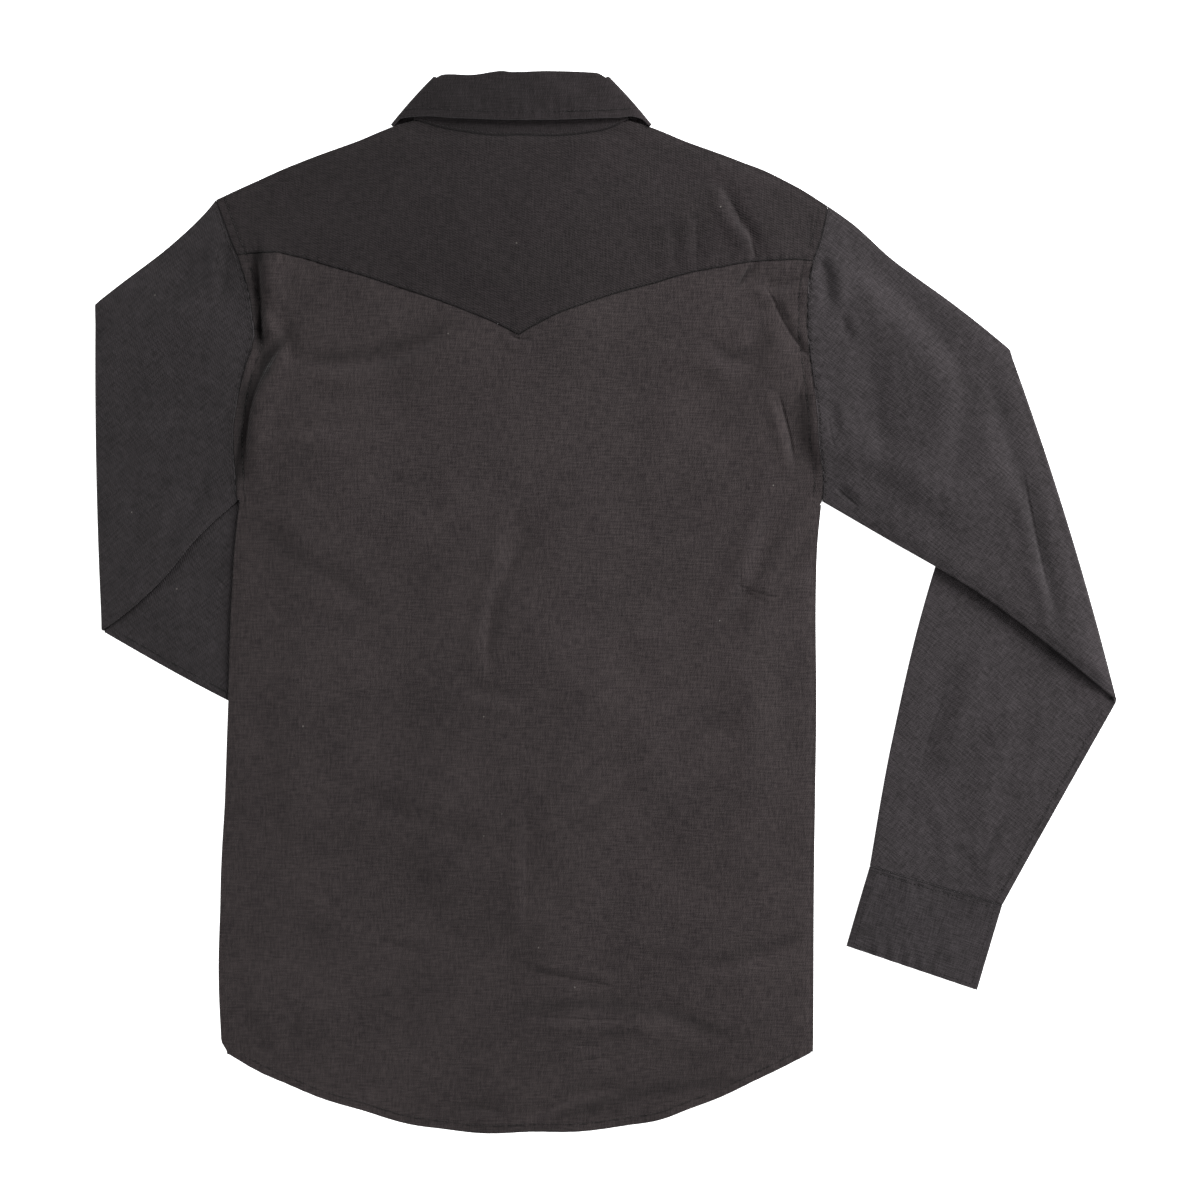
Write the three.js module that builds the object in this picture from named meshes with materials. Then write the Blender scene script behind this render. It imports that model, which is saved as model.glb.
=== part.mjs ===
import * as THREE from 'three';

// A western snap shirt, laid flat on its fronts with its back up. Millimetres, +Z up.
// u runs to the right of the centre back and v runs up from the back neck seam.

// Cloth and air
const CLOTH = 1.0;
const CUFF_CLOTH = 1.4;
const GAP = 0.35;
const SEAM = 0.2;
const LAYER = CLOTH + GAP;
const TURN = LAYER / 2;
const INSET = TURN + CLOTH / 2;
const CUFF_LAYER = CUFF_CLOTH + GAP;

// How far the upper cloth stands off the lower, away from the folded edges
const LOFT = 3.0;
const LOFT_REACH = 60;
const FOREARM_LOFT = 1.6;
const FOREARM_LOFT_MARGIN = 12;
const FOREARM_LOFT_RAMP = 40;
const WRIST_EASE = 180;

// A layer below lifts the cloth above it this far past its own edge, then the cloth comes down
const LIFT_MARGIN = 22;
const LIFT_RAMP = 56;

// The outline's box, whose bottom centre is the origin
const OUTLINE = { left: -337.61, right: 471.57, bottom: -789.2, top: 50.56 };

// Outlines, read from the back
const SHOULDER = [
  { out: 84, left: 12, right: 12 },
  { out: 104, left: 6, right: 6 },
  { out: 130, left: -4.7, right: -4.7 },
  { out: 173.5, left: -20.5, right: -20.5 },
  { out: 210, left: -36.3, right: -36.3 },
  { out: 243, left: -51.5, right: -56 },
];
const BACK_NECK = [
  { u: -84, v: 12 },
  { u: -47, v: 3 },
  { u: 0, v: 0 },
  { u: 59, v: 3 },
  { u: 84, v: 12 },
];
const YOKE_POINT = { u: -1.6, v: -158.4 };
const YOKE_SEAM_LEFT = [
  { u: -227, v: -95 },
  { u: -200, v: -93 },
  { u: -186, v: -94.5 },
  { u: -155, v: -103 },
  { u: -96, v: -121 },
  { u: -32, v: -144 },
  YOKE_POINT,
];
const YOKE_SEAM_RIGHT = [
  YOKE_POINT,
  { u: 10.5, v: -151 },
  { u: 44, v: -136 },
  { u: 103.5, v: -118 },
  { u: 156, v: -105 },
  { u: 209, v: -99 },
  { u: 232, v: -100 },
];
const ARMHOLE = [
  { v: -290, left: -225, right: 238.5 },
  { v: -268, left: -226.7, right: 239 },
  { v: -242, left: -227.5, right: 235.6 },
  { v: -221, left: -226, right: 234.5 },
  { v: -182, left: -218, right: 229.5 },
  { v: -168, left: -213, right: 228 },
  { v: -146, left: -213, right: 226.6 },
  { v: -105, left: -221.6, right: 230 },
  { v: -83, left: -230, right: 237 },
  { v: -51, left: -242, right: 244 },
];
const SIDE = [
  { v: -790, left: -231, right: 230 },
  { v: -727, left: -233, right: 231 },
  { v: -716, left: -238, right: 231.5 },
  { v: -605, left: -238.6, right: 232 },
  { v: -526, left: -235, right: 233 },
  { v: -447, left: -232, right: 234 },
  { v: -344, left: -228, right: 234 },
  { v: -290, left: -223, right: 238 },
];
const HEM = [
  { u: -238, v: -722 },
  { u: -231.5, v: -728 },
  { u: -187, v: -750 },
  { u: -125, v: -771.5 },
  { u: -63, v: -785.6 },
  { u: 9, v: -787.9 },
  { u: 86, v: -783 },
  { u: 134, v: -770 },
  { u: 186, v: -747.5 },
  { u: 231, v: -726 },
];

// Sleeves: the upper arm's two edges, the fold, then the forearm folded under it and the cuff
const SLEEVES = {
  left: {
    outward: -1,
    top: [
      { u: -242, v: -51 },
      { u: -288, v: -92.5 },
      { u: -337.5, v: -134 },
    ],
    low: [
      { u: -225.5, v: -290 },
      { u: -256, v: -318 },
      { u: -283, v: -351 },
      { u: -312, v: -378 },
      { u: -332.5, v: -392.5 },
    ],
    foldBow: 2,
    forearmTop: [{ u: -337.5, v: -134 }, { u: 16.6, v: -452 }],
    forearmLow: [
      { u: -332.5, v: -392.5 },
      { u: -233, v: -447.5 },
      { u: -47.4, v: -537 },
    ],
    cuffEnd: [{ u: 68.7, v: -490.6 }, { u: 4.7, v: -576 }],
  },
  right: {
    outward: 1,
    top: [
      { u: 244, v: -56 },
      { u: 268, v: -72 },
      { u: 300, v: -99.5 },
      { u: 340.5, v: -131 },
      { u: 387, v: -170 },
    ],
    low: [
      { u: 239, v: -290 },
      { u: 292, v: -321 },
      { u: 363, v: -363 },
      { u: 428, v: -412 },
      { u: 472, v: -448 },
    ],
    foldBow: 4,
    forearmTop: [
      { u: 387, v: -170 },
      { u: 325, v: -352 },
      { u: 294, v: -479 },
      { u: 276, v: -579 },
    ],
    forearmLow: [
      { u: 472, v: -448 },
      { u: 428, v: -526 },
      { u: 381, v: -610 },
    ],
    cuffEnd: [{ u: 257.5, v: -642 }, { u: 361, v: -677 }],
  },
};

// How far along their lines the upper arm ends, and the forearm starts and ends and is lifted by its snap
const UPPER_ARM_END = 0.995;
const FOREARM_START = 0.01;
const FOREARM_END = 0.9985;
const CUFF_LIFT_START = 0.72;

// The collar's left half from its side fold to the front: neck seam, band top, roll and outer edge
const COLLAR = [
  { neckU: 84, neckV: 12, bandU: 73, bandV: 37, rollU: 67.5, rollV: 45.5, edgeU: 101.5, edgeV: 7 },
  { neckU: 80, neckV: -18, bandU: 58, bandV: 6, rollU: 53, rollV: 11, edgeU: 97, edgeV: -26 },
  { neckU: 62, neckV: -50, bandU: 42, bandV: -26, rollU: 38, rollV: -22, edgeU: 86, edgeV: -56 },
  { neckU: 44, neckV: -68, bandU: 26, bandV: -43, rollU: 23, rollV: -39, edgeU: 72, edgeV: -84 },
  { neckU: 17, neckV: -78, bandU: 8, bandV: -50, rollU: 7, rollV: -46, edgeU: 56, edgeV: -108 },
];
const COLLAR_FRONT = { neckU: 0, neckV: -79.5, bandU: 0, bandV: -51.5 };
const COLLAR_OVERLAP = { neckU: -17, neckV: -78, bandU: -16, bandV: -50.5 };
const LEAF_HALF = 108;
const LEAF_DEEP = 115;
const LEAF_START = 0.12;
const BAND_BACK_V = 36;
const BAND_CORNER_POWER = 4;
const ROLL_BACK = [
  { u: -67.5, v: 45.5 },
  { u: -39, v: 46.5 },
  { u: -15, v: 49 },
  { u: 32, v: 48.5 },
  { u: 67.5, v: 47 },
];
const LEAF_EDGE = [
  { u: -101.5, v: 7 },
  { u: -93, v: 13.5 },
  { u: -52, v: 13 },
  { u: 6, v: 11.5 },
  { u: 77, v: 13.5 },
  { u: 93, v: 13.5 },
  { u: 101.5, v: 7 },
];
const LEAF_STEPS = 4;
const STAND_SHARES = [0, 1 / 3, 2 / 3, 1];
const LEAF_STATIONS = [-1, -0.97, -0.91, -0.75, -0.5, -0.25, 0, 0.25, 0.5, 0.75, 0.91, 0.97, 1];

// Fronts and closure
const FRONT_YOKE = 30;
const FRONT_SEAM_V = -77;
const YOKE_TOP = { left: -241.5, right: 243.5 };
const NECK_SIDE = 84;
const FRONT_NECK_SIDE = 80;
const SIDE_WRAP = [3, 18, 32, 39, 42];
const HEM_INSET = 4;
const PLACKET_HALF = 17;
const PLACKET_DRIFT = -12;
const DRIFT_START = 80;
const DRIFT_END = 400;
const LAP_EASE = 0.35;
const SNAP = { radius: 5.2, edge: 0.4, sides: 16 };
const FRONT_SNAPS = 6;
const NECK_SNAP = { u: 0, v: -65 };
const SNAP_FIRST_V = -112;
const SNAP_PITCH = 94;

// Grid steps
const ZONE_STEPS = [6, 5, 5, 6];
const YOKE_TOP_STEPS = 5;
const YOKE_FRONT_STEPS = 2;
const ARMHOLE_STEPS = 8;
const BODY_STEPS = 18;
const FRONT_ARMHOLE_STEPS = 7;
const UNDERARM = 0.308;
const UPPER_ARM_STEPS = 6;
const FOREARM_STEPS = 8;
const CUFF_STEPS = 3;
const TURN_STEPS = 4;
const UNDER_STEPS = 2;

// The largest folds of the back: a line from one end to the other, its height and half width
const BACK_FOLDS = [
  { fromU: -180, fromV: -288, toU: -70, toV: -372, height: 1.6, half: 22 },
  { fromU: -150, fromV: -505, toU: -42, toV: -560, height: -1.4, half: 24 },
  { fromU: -40, fromV: -548, toU: 0, toV: -570, height: 1.2, half: 20 },
  { fromU: 20, fromV: -550, toU: 95, toV: -480, height: 2.0, half: 22 },
  { fromU: 95, fromV: -480, toU: 175, toV: -428, height: 1.5, half: 20 },
  { fromU: 60, fromV: -505, toU: 150, toV: -440, height: -1.5, half: 16 },
  { fromU: 178, fromV: -100, toU: 186, toV: -160, height: 1.5, half: 16 },
  { fromU: 225, fromV: -180, toU: 215, toV: -290, height: -1.2, half: 18 },
  { fromU: 205, fromV: -290, toU: 170, toV: -380, height: 1.4, half: 16 },
  { fromU: -190, fromV: -165, toU: -120, toV: -180, height: 1.3, half: 18 },
  { fromU: 0, fromV: -688, toU: 110, toV: -690, height: 1.8, half: 18 },
  { fromU: 110, fromV: -690, toU: 185, toV: -712, height: 1.5, half: 16 },
  { fromU: -10, fromV: -290, toU: -25, toV: -430, height: 1.3, half: 18 },
];

const FABRIC = { color: 0x3a3536, roughness: 0.95, metalness: 0 };
const SNAP_METAL = { color: 0x2b2829, roughness: 0.4, metalness: 0.6 };

const group = new THREE.Group();
group.name = 'western_snap_shirt';

const { lerp, clamp } = THREE.MathUtils;

// 1 up to the margin, then a soft way down to 0 over the ramp
function fade(distance, margin, ramp) {
  return 1 - THREE.MathUtils.smoothstep(distance, margin, margin + ramp);
}

// A smooth curve through two columns of a table whose first column rises
function curve(rows, input, output) {
  const slope = (i) => {
    const before = rows[Math.max(i - 1, 0)];
    const after = rows[Math.min(i + 1, rows.length - 1)];
    return (after[output] - before[output]) / (after[input] - before[input]);
  };
  return (value) => {
    let i = 0;
    while (i < rows.length - 2 && value > rows[i + 1][input]) i += 1;
    const span = rows[i + 1][input] - rows[i][input];
    const t = clamp((value - rows[i][input]) / span, 0, 1);
    const low = rows[i][output] + slope(i) * span * t;
    const high = rows[i + 1][output] - slope(i + 1) * span * (1 - t);
    return lerp(low, high, t * t * (3 - 2 * t));
  };
}

const shoulderLeft = curve(SHOULDER, 'out', 'left');
const shoulderRight = curve(SHOULDER, 'out', 'right');
const shoulder = (u) => (u < 0 ? shoulderLeft(-u) : shoulderRight(u));
const backNeck = curve(BACK_NECK, 'u', 'v');
const seamLeft = curve(YOKE_SEAM_LEFT, 'u', 'v');
const seamRight = curve(YOKE_SEAM_RIGHT, 'u', 'v');
const yokeSeam = (u) => (u < YOKE_POINT.u ? seamLeft(u) : seamRight(u));
const armhole = { left: curve(ARMHOLE, 'v', 'left'), right: curve(ARMHOLE, 'v', 'right') };
const side = { left: curve(SIDE, 'v', 'left'), right: curve(SIDE, 'v', 'right') };
const hem = curve(HEM, 'u', 'v');
const rollBack = curve(ROLL_BACK, 'u', 'v');
const leafEdge = curve(LEAF_EDGE, 'u', 'v');
const placketCentre = (v) => PLACKET_DRIFT * THREE.MathUtils.smoothstep(-v, DRIFT_START, DRIFT_END);

// Distance from a point to the line between two others
function lineDistance(u, v, a, b) {
  const du = b.u - a.u;
  const dv = b.v - a.v;
  const t = clamp(((u - a.u) * du + (v - a.v) * dv) / (du * du + dv * dv), 0, 1);
  return Math.hypot(u - a.u - du * t, v - a.v - dv * t);
}

function pathDistance(u, v, points) {
  let nearest = Infinity;
  for (let i = 0; i < points.length - 1; i += 1) {
    nearest = Math.min(nearest, lineDistance(u, v, points[i], points[i + 1]));
  }
  return nearest;
}

// How far a point lies outside a four-sided shape whose corners run against the clock
function outside(u, v, corners) {
  let most = -Infinity;
  corners.forEach((a, i) => {
    const b = corners[(i + 1) % corners.length];
    const length = Math.hypot(b.u - a.u, b.v - a.v);
    const across = ((u - a.u) * (b.v - a.v) - (v - a.v) * (b.u - a.u)) / length;
    most = Math.max(most, across);
  });
  return most;
}

function firstOf(points) {
  return points[0];
}

function lastOf(points) {
  return points[points.length - 1];
}

// The forearms and the left cuff as four-sided shapes
function forearmShape(sleeve) {
  const [cuffTop, cuffLow] = sleeve.cuffEnd;
  const corners = [firstOf(sleeve.forearmTop), firstOf(sleeve.forearmLow), cuffLow, cuffTop];
  return sleeve.outward < 0 ? corners : corners.reverse();
}

function cuffShape(sleeve) {
  return [lastOf(sleeve.forearmTop), lastOf(sleeve.forearmLow), sleeve.cuffEnd[1], sleeve.cuffEnd[0]];
}

const FOREARM_SHAPE = { left: forearmShape(SLEEVES.left), right: forearmShape(SLEEVES.right) };
const LEFT_CUFF_SHAPE = cuffShape(SLEEVES.left);

// Height of what the shirt's body and left upper arm lie on, from the floor up
function forearmHeight(u, v, which) {
  const forearm = 2 * LAYER * fade(outside(u, v, FOREARM_SHAPE[which]), LIFT_MARGIN, LIFT_RAMP);
  if (which === 'right') return forearm;
  const beyondCuff = outside(u, v, LEFT_CUFF_SHAPE);
  const cuff = (LAYER + 2 * (CUFF_CLOTH - CLOTH)) * fade(beyondCuff, LIFT_MARGIN, LIFT_RAMP);
  return forearm + cuff;
}

function leafOrSnapHeight(u, v) {
  const beside = Math.max(Math.abs(u) - LEAF_HALF, -v - LEAF_DEEP);
  const leaf = fade(beside, LIFT_MARGIN, LIFT_RAMP);
  const snaps = fade(Math.abs(u - placketCentre(v)) - PLACKET_HALF, LIFT_MARGIN, LIFT_RAMP);
  return LAYER * Math.max(leaf, snaps);
}

function ground(u, v) {
  return forearmHeight(u, v, 'left') + leafOrSnapHeight(u, v);
}

// The right front laps over the placket, a little looser than the cloth elsewhere
function lap(u, v) {
  const beside = Math.abs(u - placketCentre(v)) - PLACKET_HALF;
  return (LAYER + LAP_EASE) * fade(beside, LIFT_MARGIN, LIFT_RAMP);
}

// The folded edges, where upper and lower cloth meet
function foldedEdges(which) {
  const sleeve = SLEEVES[which];
  const points = SHOULDER.map((row) => ({ u: sleeve.outward * row.out, v: row[which] }));
  points.push(...sleeve.top, ...[...sleeve.low].reverse());
  [...SIDE].reverse().forEach((row) => points.push({ u: row[which], v: row.v }));
  return points;
}

const FOLDED = { left: foldedEdges('left'), right: foldedEdges('right') };

function edgeDistance(u, v) {
  return Math.min(pathDistance(u, v, FOLDED.left), pathDistance(u, v, FOLDED.right));
}

function foldHeight(u, v) {
  let height = 0;
  BACK_FOLDS.forEach((fold) => {
    const distance = lineDistance(u, v, { u: fold.fromU, v: fold.fromV }, { u: fold.toU, v: fold.toV });
    height += fold.height * fade(distance, 0, fold.half);
  });
  return height;
}

function neckDistance(u, v) {
  return Math.hypot(Math.max(Math.abs(u) - NECK_SIDE, 0), Math.min(v, 0));
}

function loft(u, v) {
  const open = 1 - fade(Math.min(edgeDistance(u, v), neckDistance(u, v)), 0, LOFT_REACH);
  return (LOFT + foldHeight(u, v)) * open;
}

// Middle of the cloth's wall for each level
const frontMid = (u, v) => ground(u, v) + CLOTH / 2;
const frontRightMid = (u, v) => frontMid(u, v) + lap(u, v);
const backMid = (u, v) => frontRightMid(u, v) + LAYER + loft(u, v);

function point(u, v, z) {
  const middleU = (OUTLINE.left + OUTLINE.right) / 2;
  const middleV = (OUTLINE.bottom + OUTLINE.top) / 2;
  return new THREE.Vector3(u - middleU, v - middleV, z);
}

// Average direction of the cells round each grid point, which the wall's two faces stand off along
function gridNormals(grid, keep, loop) {
  const normals = grid.map((row) => row.map(() => new THREE.Vector3()));
  const columns = grid[0].length;
  const width = loop ? columns : columns - 1;
  for (let i = 0; i < grid.length - 1; i += 1) {
    for (let j = 0; j < width; j += 1) {
      if (keep(i, j)) {
        const k = (j + 1) % columns;
        const one = grid[i + 1][k].clone().sub(grid[i][j]);
        const two = grid[i + 1][j].clone().sub(grid[i][k]);
        const normal = one.cross(two).normalize();
        normals[i][j].add(normal);
        normals[i][k].add(normal);
        normals[i + 1][j].add(normal);
        normals[i + 1][k].add(normal);
      }
    }
  }
  normals.forEach((row) => row.forEach((normal) => normal.normalize()));
  return normals;
}

// A closed wall of cloth, standing half its thickness to each side of a grid of points.
// keep says which cells are cloth, and loop joins the last column to the first.
function clothWall(grid, { thick = CLOTH, keep = () => true, loop = false } = {}) {
  const columns = grid[0].length;
  const width = loop ? columns : columns - 1;
  const normals = gridNormals(grid, keep, loop);
  const numbers = new Map();
  const positions = [];
  const faces = [];
  const number = (i, j, face) => {
    const key = `${i},${j},${face}`;
    if (!numbers.has(key)) {
      const place = grid[i][j].clone().addScaledVector(normals[i][j], (face * thick) / 2);
      numbers.set(key, positions.length / 3);
      positions.push(place.x, place.y, place.z);
    }
    return numbers.get(key);
  };
  const quad = (a, b, c, d) => faces.push(a, b, c, a, c, d);
  const cloth = (i, j) => {
    if (i < 0 || i >= grid.length - 1) return false;
    if (!loop && (j < 0 || j >= width)) return false;
    return keep(i, (j + width) % width);
  };
  for (let i = 0; i < grid.length - 1; i += 1) {
    for (let j = 0; j < width; j += 1) {
      if (cloth(i, j)) {
        const k = (j + 1) % columns;
        const up = [number(i, j, 1), number(i, k, 1), number(i + 1, k, 1), number(i + 1, j, 1)];
        const down = [number(i, j, -1), number(i, k, -1), number(i + 1, k, -1), number(i + 1, j, -1)];
        quad(up[0], up[1], up[2], up[3]);
        quad(down[0], down[3], down[2], down[1]);
        if (!cloth(i - 1, j)) quad(up[1], up[0], down[0], down[1]);
        if (!cloth(i + 1, j)) quad(up[3], up[2], down[2], down[3]);
        if (!cloth(i, j - 1)) quad(up[0], up[3], down[3], down[0]);
        if (!cloth(i, j + 1)) quad(up[2], up[1], down[1], down[2]);
      }
    }
  }
  const geometry = new THREE.BufferGeometry();
  geometry.setAttribute('position', new THREE.Float32BufferAttribute(positions, 3));
  geometry.setIndex(faces);
  return geometry;
}

function addPiece(name, geometry, look) {
  const mesh = new THREE.Mesh(geometry, new THREE.MeshStandardMaterial(look));
  mesh.name = name;
  group.add(mesh);
  return mesh;
}

// Points round a turn from a lower to an upper place, bulging along (outU, outV), without its two ends
function turnPoints(low, high, outU, outV) {
  const radius = Math.hypot(high.u - low.u, high.v - low.v, high.z - low.z) / 2;
  const points = [];
  for (let n = 1; n < TURN_STEPS; n += 1) {
    const angle = (Math.PI * n) / TURN_STEPS;
    const share = (1 - Math.cos(angle)) / 2;
    const bulge = radius * Math.sin(angle);
    points.push({
      u: lerp(low.u, high.u, share) + outU * bulge,
      v: lerp(low.v, high.v, share) + outV * bulge,
      z: lerp(low.z, high.z, share),
    });
  }
  return points;
}

const toGrid = (rows) => rows.map((row) => row.map((p) => point(p.u, p.v, p.z)));

// Places across the body, zone by zone between five anchors
function across(anchors) {
  const places = [anchors[0]];
  ZONE_STEPS.forEach((steps, zone) => {
    for (let n = 1; n <= steps; n += 1) places.push(lerp(anchors[zone], anchors[zone + 1], n / steps));
  });
  return places;
}

const NECK_FROM = ZONE_STEPS[0];
const NECK_TO = ZONE_STEPS[0] + ZONE_STEPS[1] + ZONE_STEPS[2];
const LAST = NECK_TO + ZONE_STEPS[3];

// Yoke: front part, shoulder fold, then the back down to its pointed seam
const yokeTopU = across([YOKE_TOP.left, -NECK_SIDE, 0, NECK_SIDE, YOKE_TOP.right]);
const seamU = across([
  armhole.left(firstOf(YOKE_SEAM_LEFT).v) + SEAM,
  -NECK_SIDE,
  YOKE_POINT.u,
  NECK_SIDE,
  armhole.right(lastOf(YOKE_SEAM_RIGHT).v) - SEAM,
]);
const frontSeamU = across([
  armhole.left(FRONT_SEAM_V) + SEAM,
  -FRONT_NECK_SIDE,
  0,
  FRONT_NECK_SIDE,
  armhole.right(FRONT_SEAM_V) - SEAM,
]);

function yokeColumnTop(k) {
  const u = yokeTopU[k];
  if (k > NECK_FROM && k < NECK_TO) return { u, v: backNeck(u) - SEAM };
  return { u, v: shoulder(u) - INSET };
}

function yokeEdgeU(k, v, u) {
  if (k === 0) return armhole.left(v) + SEAM;
  if (k === LAST) return armhole.right(v) - SEAM;
  return u;
}

function yokeRow(k) {
  const top = yokeColumnTop(k);
  const row = [];
  const frontV = shoulder(frontSeamU[k]) - FRONT_YOKE;
  for (let n = YOKE_FRONT_STEPS; n >= 0; n -= 1) {
    const v = lerp(top.v, frontV, n / YOKE_FRONT_STEPS);
    const u = yokeEdgeU(k, v, lerp(top.u, frontSeamU[k], n / YOKE_FRONT_STEPS));
    row.push({ u, v, z: frontMid(u, v) });
  }
  const first = { ...lastOf(row) };
  first.z = backMid(first.u, first.v);
  row.push(...turnPoints(lastOf(row), first, 0, 1), first);
  for (let n = 1; n <= YOKE_TOP_STEPS; n += 1) {
    const share = n / YOKE_TOP_STEPS;
    const v = lerp(top.v, yokeSeam(seamU[k]) + SEAM, share);
    const u = yokeEdgeU(k, v, lerp(top.u, seamU[k], share));
    row.push({ u, v, z: backMid(u, v) });
  }
  return row;
}

const yokeRows = yokeTopU.map((u, k) => yokeRow(k));

function yoke() {
  const turned = YOKE_FRONT_STEPS + TURN_STEPS;
  const keep = (k, j) => j >= turned || k < NECK_FROM || k >= NECK_TO;
  return clothWall(toGrid(yokeRows), { keep });
}

// Back panel: its rows run from side seam to side seam, round both side folds
const BACK_SHARES = [];
for (let n = 0; n <= ARMHOLE_STEPS; n += 1) BACK_SHARES.push((UNDERARM * n) / ARMHOLE_STEPS);
for (let n = 1; n <= BODY_STEPS; n += 1) BACK_SHARES.push(lerp(UNDERARM, 1, n / BODY_STEPS));

function backEnd(which, share) {
  const index = which === 'left' ? 0 : LAST;
  const seam = seamU[index];
  const sideHem = which === 'left' ? HEM[1] : lastOf(HEM);
  return lerp(yokeSeam(seam) - SEAM, sideHem.v, share);
}

function wrapWidth(row) {
  return SIDE_WRAP[clamp(row - ARMHOLE_STEPS, 0, SIDE_WRAP.length - 1)];
}

function backEdgeU(which, row, v) {
  const sign = which === 'left' ? 1 : -1;
  if (row < ARMHOLE_STEPS) return armhole[which](v) + sign * SEAM;
  return side[which](v) + sign * INSET;
}

function underSide(which, row, edge) {
  const sign = which === 'left' ? 1 : -1;
  const points = [];
  for (let n = UNDER_STEPS; n >= 0; n -= 1) {
    const u = edge.u + (sign * wrapWidth(row) * n) / UNDER_STEPS;
    points.push({ u, v: edge.v, z: frontMid(u, edge.v) });
  }
  points.push(...turnPoints(lastOf(points), edge, -sign, 0));
  return points;
}

function backRow(share, row) {
  const leftV = backEnd('left', share);
  const rightV = backEnd('right', share);
  const places = across([
    backEdgeU('left', row, leftV),
    -NECK_SIDE,
    YOKE_POINT.u * (1 - share),
    NECK_SIDE,
    backEdgeU('right', row, rightV),
  ]);
  const top = places.map((u, k) => {
    let v = lerp(yokeSeam(seamU[k]) - SEAM, hem(u), share);
    if (k === 0) v = leftV;
    if (k === LAST) v = rightV;
    return { u, v, z: backMid(u, v) };
  });
  const left = underSide('left', row, top[0]);
  const right = underSide('right', row, lastOf(top)).reverse();
  return [...left, ...top, ...right];
}

const backRows = BACK_SHARES.map(backRow);

function back() {
  const under = UNDER_STEPS + TURN_STEPS;
  const columns = backRows[0].length - 1;
  const keep = (i, j) => i >= ARMHOLE_STEPS || (j >= under && j < columns - under);
  return clothWall(toGrid(backRows), { keep });
}

// Front neck seam, from the collar table
const frontNeckTable = [...COLLAR].reverse().map((row) => ({ out: row.neckU, v: row.neckV }));
frontNeckTable.pop();
frontNeckTable.unshift({ out: COLLAR_FRONT.neckU, v: COLLAR_FRONT.neckV });
const frontNeckCurve = curve(frontNeckTable, 'out', 'v');
const frontNeck = (u) => frontNeckCurve(Math.abs(u));

function frontHem(u) {
  return hem(u) + HEM_INSET;
}

// Heights of a front panel's outer edge: down the armhole, then down the side seam with the back
function frontEdgeHeights(which) {
  const heights = [];
  const underarm = backEnd(which, UNDERARM);
  const top = shoulder(frontSeamU[which === 'left' ? 0 : LAST]) - FRONT_YOKE - SEAM;
  for (let n = 0; n < FRONT_ARMHOLE_STEPS; n += 1) {
    heights.push(lerp(top, underarm, n / FRONT_ARMHOLE_STEPS));
  }
  BACK_SHARES.slice(ARMHOLE_STEPS).forEach((share) => heights.push(backEnd(which, share)));
  return heights;
}

function frontEdgeU(which, n, v) {
  const sign = which === 'left' ? 1 : -1;
  if (n < FRONT_ARMHOLE_STEPS) return armhole[which](v) + sign * SEAM;
  const row = n - FRONT_ARMHOLE_STEPS + ARMHOLE_STEPS;
  return side[which](v) + sign * (INSET + wrapWidth(row) + 2 * SEAM);
}

// A front panel's rows: outer edge, then across to the closure
function frontRows(which, middle, height, neckPlaces) {
  const sign = which === 'left' ? 1 : -1;
  const heights = frontEdgeHeights(which);
  const outer = which === 'left' ? frontSeamU.slice(0, NECK_FROM + 1) : frontSeamU.slice(NECK_TO).reverse();
  const startU = lastOf(outer);
  return heights.map((edgeV, n) => {
    const edgeU = frontEdgeU(which, n, edgeV);
    const share = (edgeV - heights[0]) / (lastOf(heights) - heights[0]);
    const row = [];
    outer.forEach((seam, k) => {
      const u = lerp(edgeU, startU, k / NECK_FROM);
      const topV = shoulder(seam) - FRONT_YOKE - SEAM;
      const v = k === 0 ? edgeV : lerp(topV, frontHem(u), share);
      row.push({ u, v, z: height(u, v) });
    });
    neckPlaces.forEach((topU) => {
      const topV = frontNeck(topU) - SEAM;
      const guess = lerp(topV, frontHem(topU), share);
      const u = lerp(startU, middle(guess), (topU - startU) / (lastOf(neckPlaces) - startU));
      const v = lerp(topV, frontHem(u), share);
      row.push({ u, v, z: height(u, v) });
    });
    return sign > 0 ? row : row.reverse();
  });
}

const neckOuts = COLLAR.slice(2).map((row) => row.neckU);
const placketLeftEdge = (v) => placketCentre(v) - PLACKET_HALF;
const placketRightEdge = (v) => placketCentre(v) + PLACKET_HALF;

function frontLeft() {
  const rows = frontRows('left', (v) => placketLeftEdge(v) - SEAM, frontMid, neckOuts.map((out) => -out));
  return clothWall(toGrid(rows));
}

function frontRight() {
  const rows = frontRows('right', placketLeftEdge, frontRightMid, [...neckOuts, 0, -PLACKET_HALF]);
  return clothWall(toGrid(rows));
}

function placket() {
  const rows = [];
  const steps = FRONT_ARMHOLE_STEPS + BODY_STEPS;
  for (let n = 0; n <= steps; n += 1) {
    const row = [-1, 0, 1].map((where) => {
      const topV = frontNeck(where * PLACKET_HALF) - SEAM;
      const guess = lerp(topV, frontHem(PLACKET_DRIFT), n / steps);
      const u = lerp(placketLeftEdge(guess), placketRightEdge(guess), (where + 1) / 2);
      const v = lerp(topV, frontHem(u), n / steps);
      return { u, v, z: frontMid(u, v) };
    });
    rows.push(row);
  }
  return clothWall(toGrid(rows));
}

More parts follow.
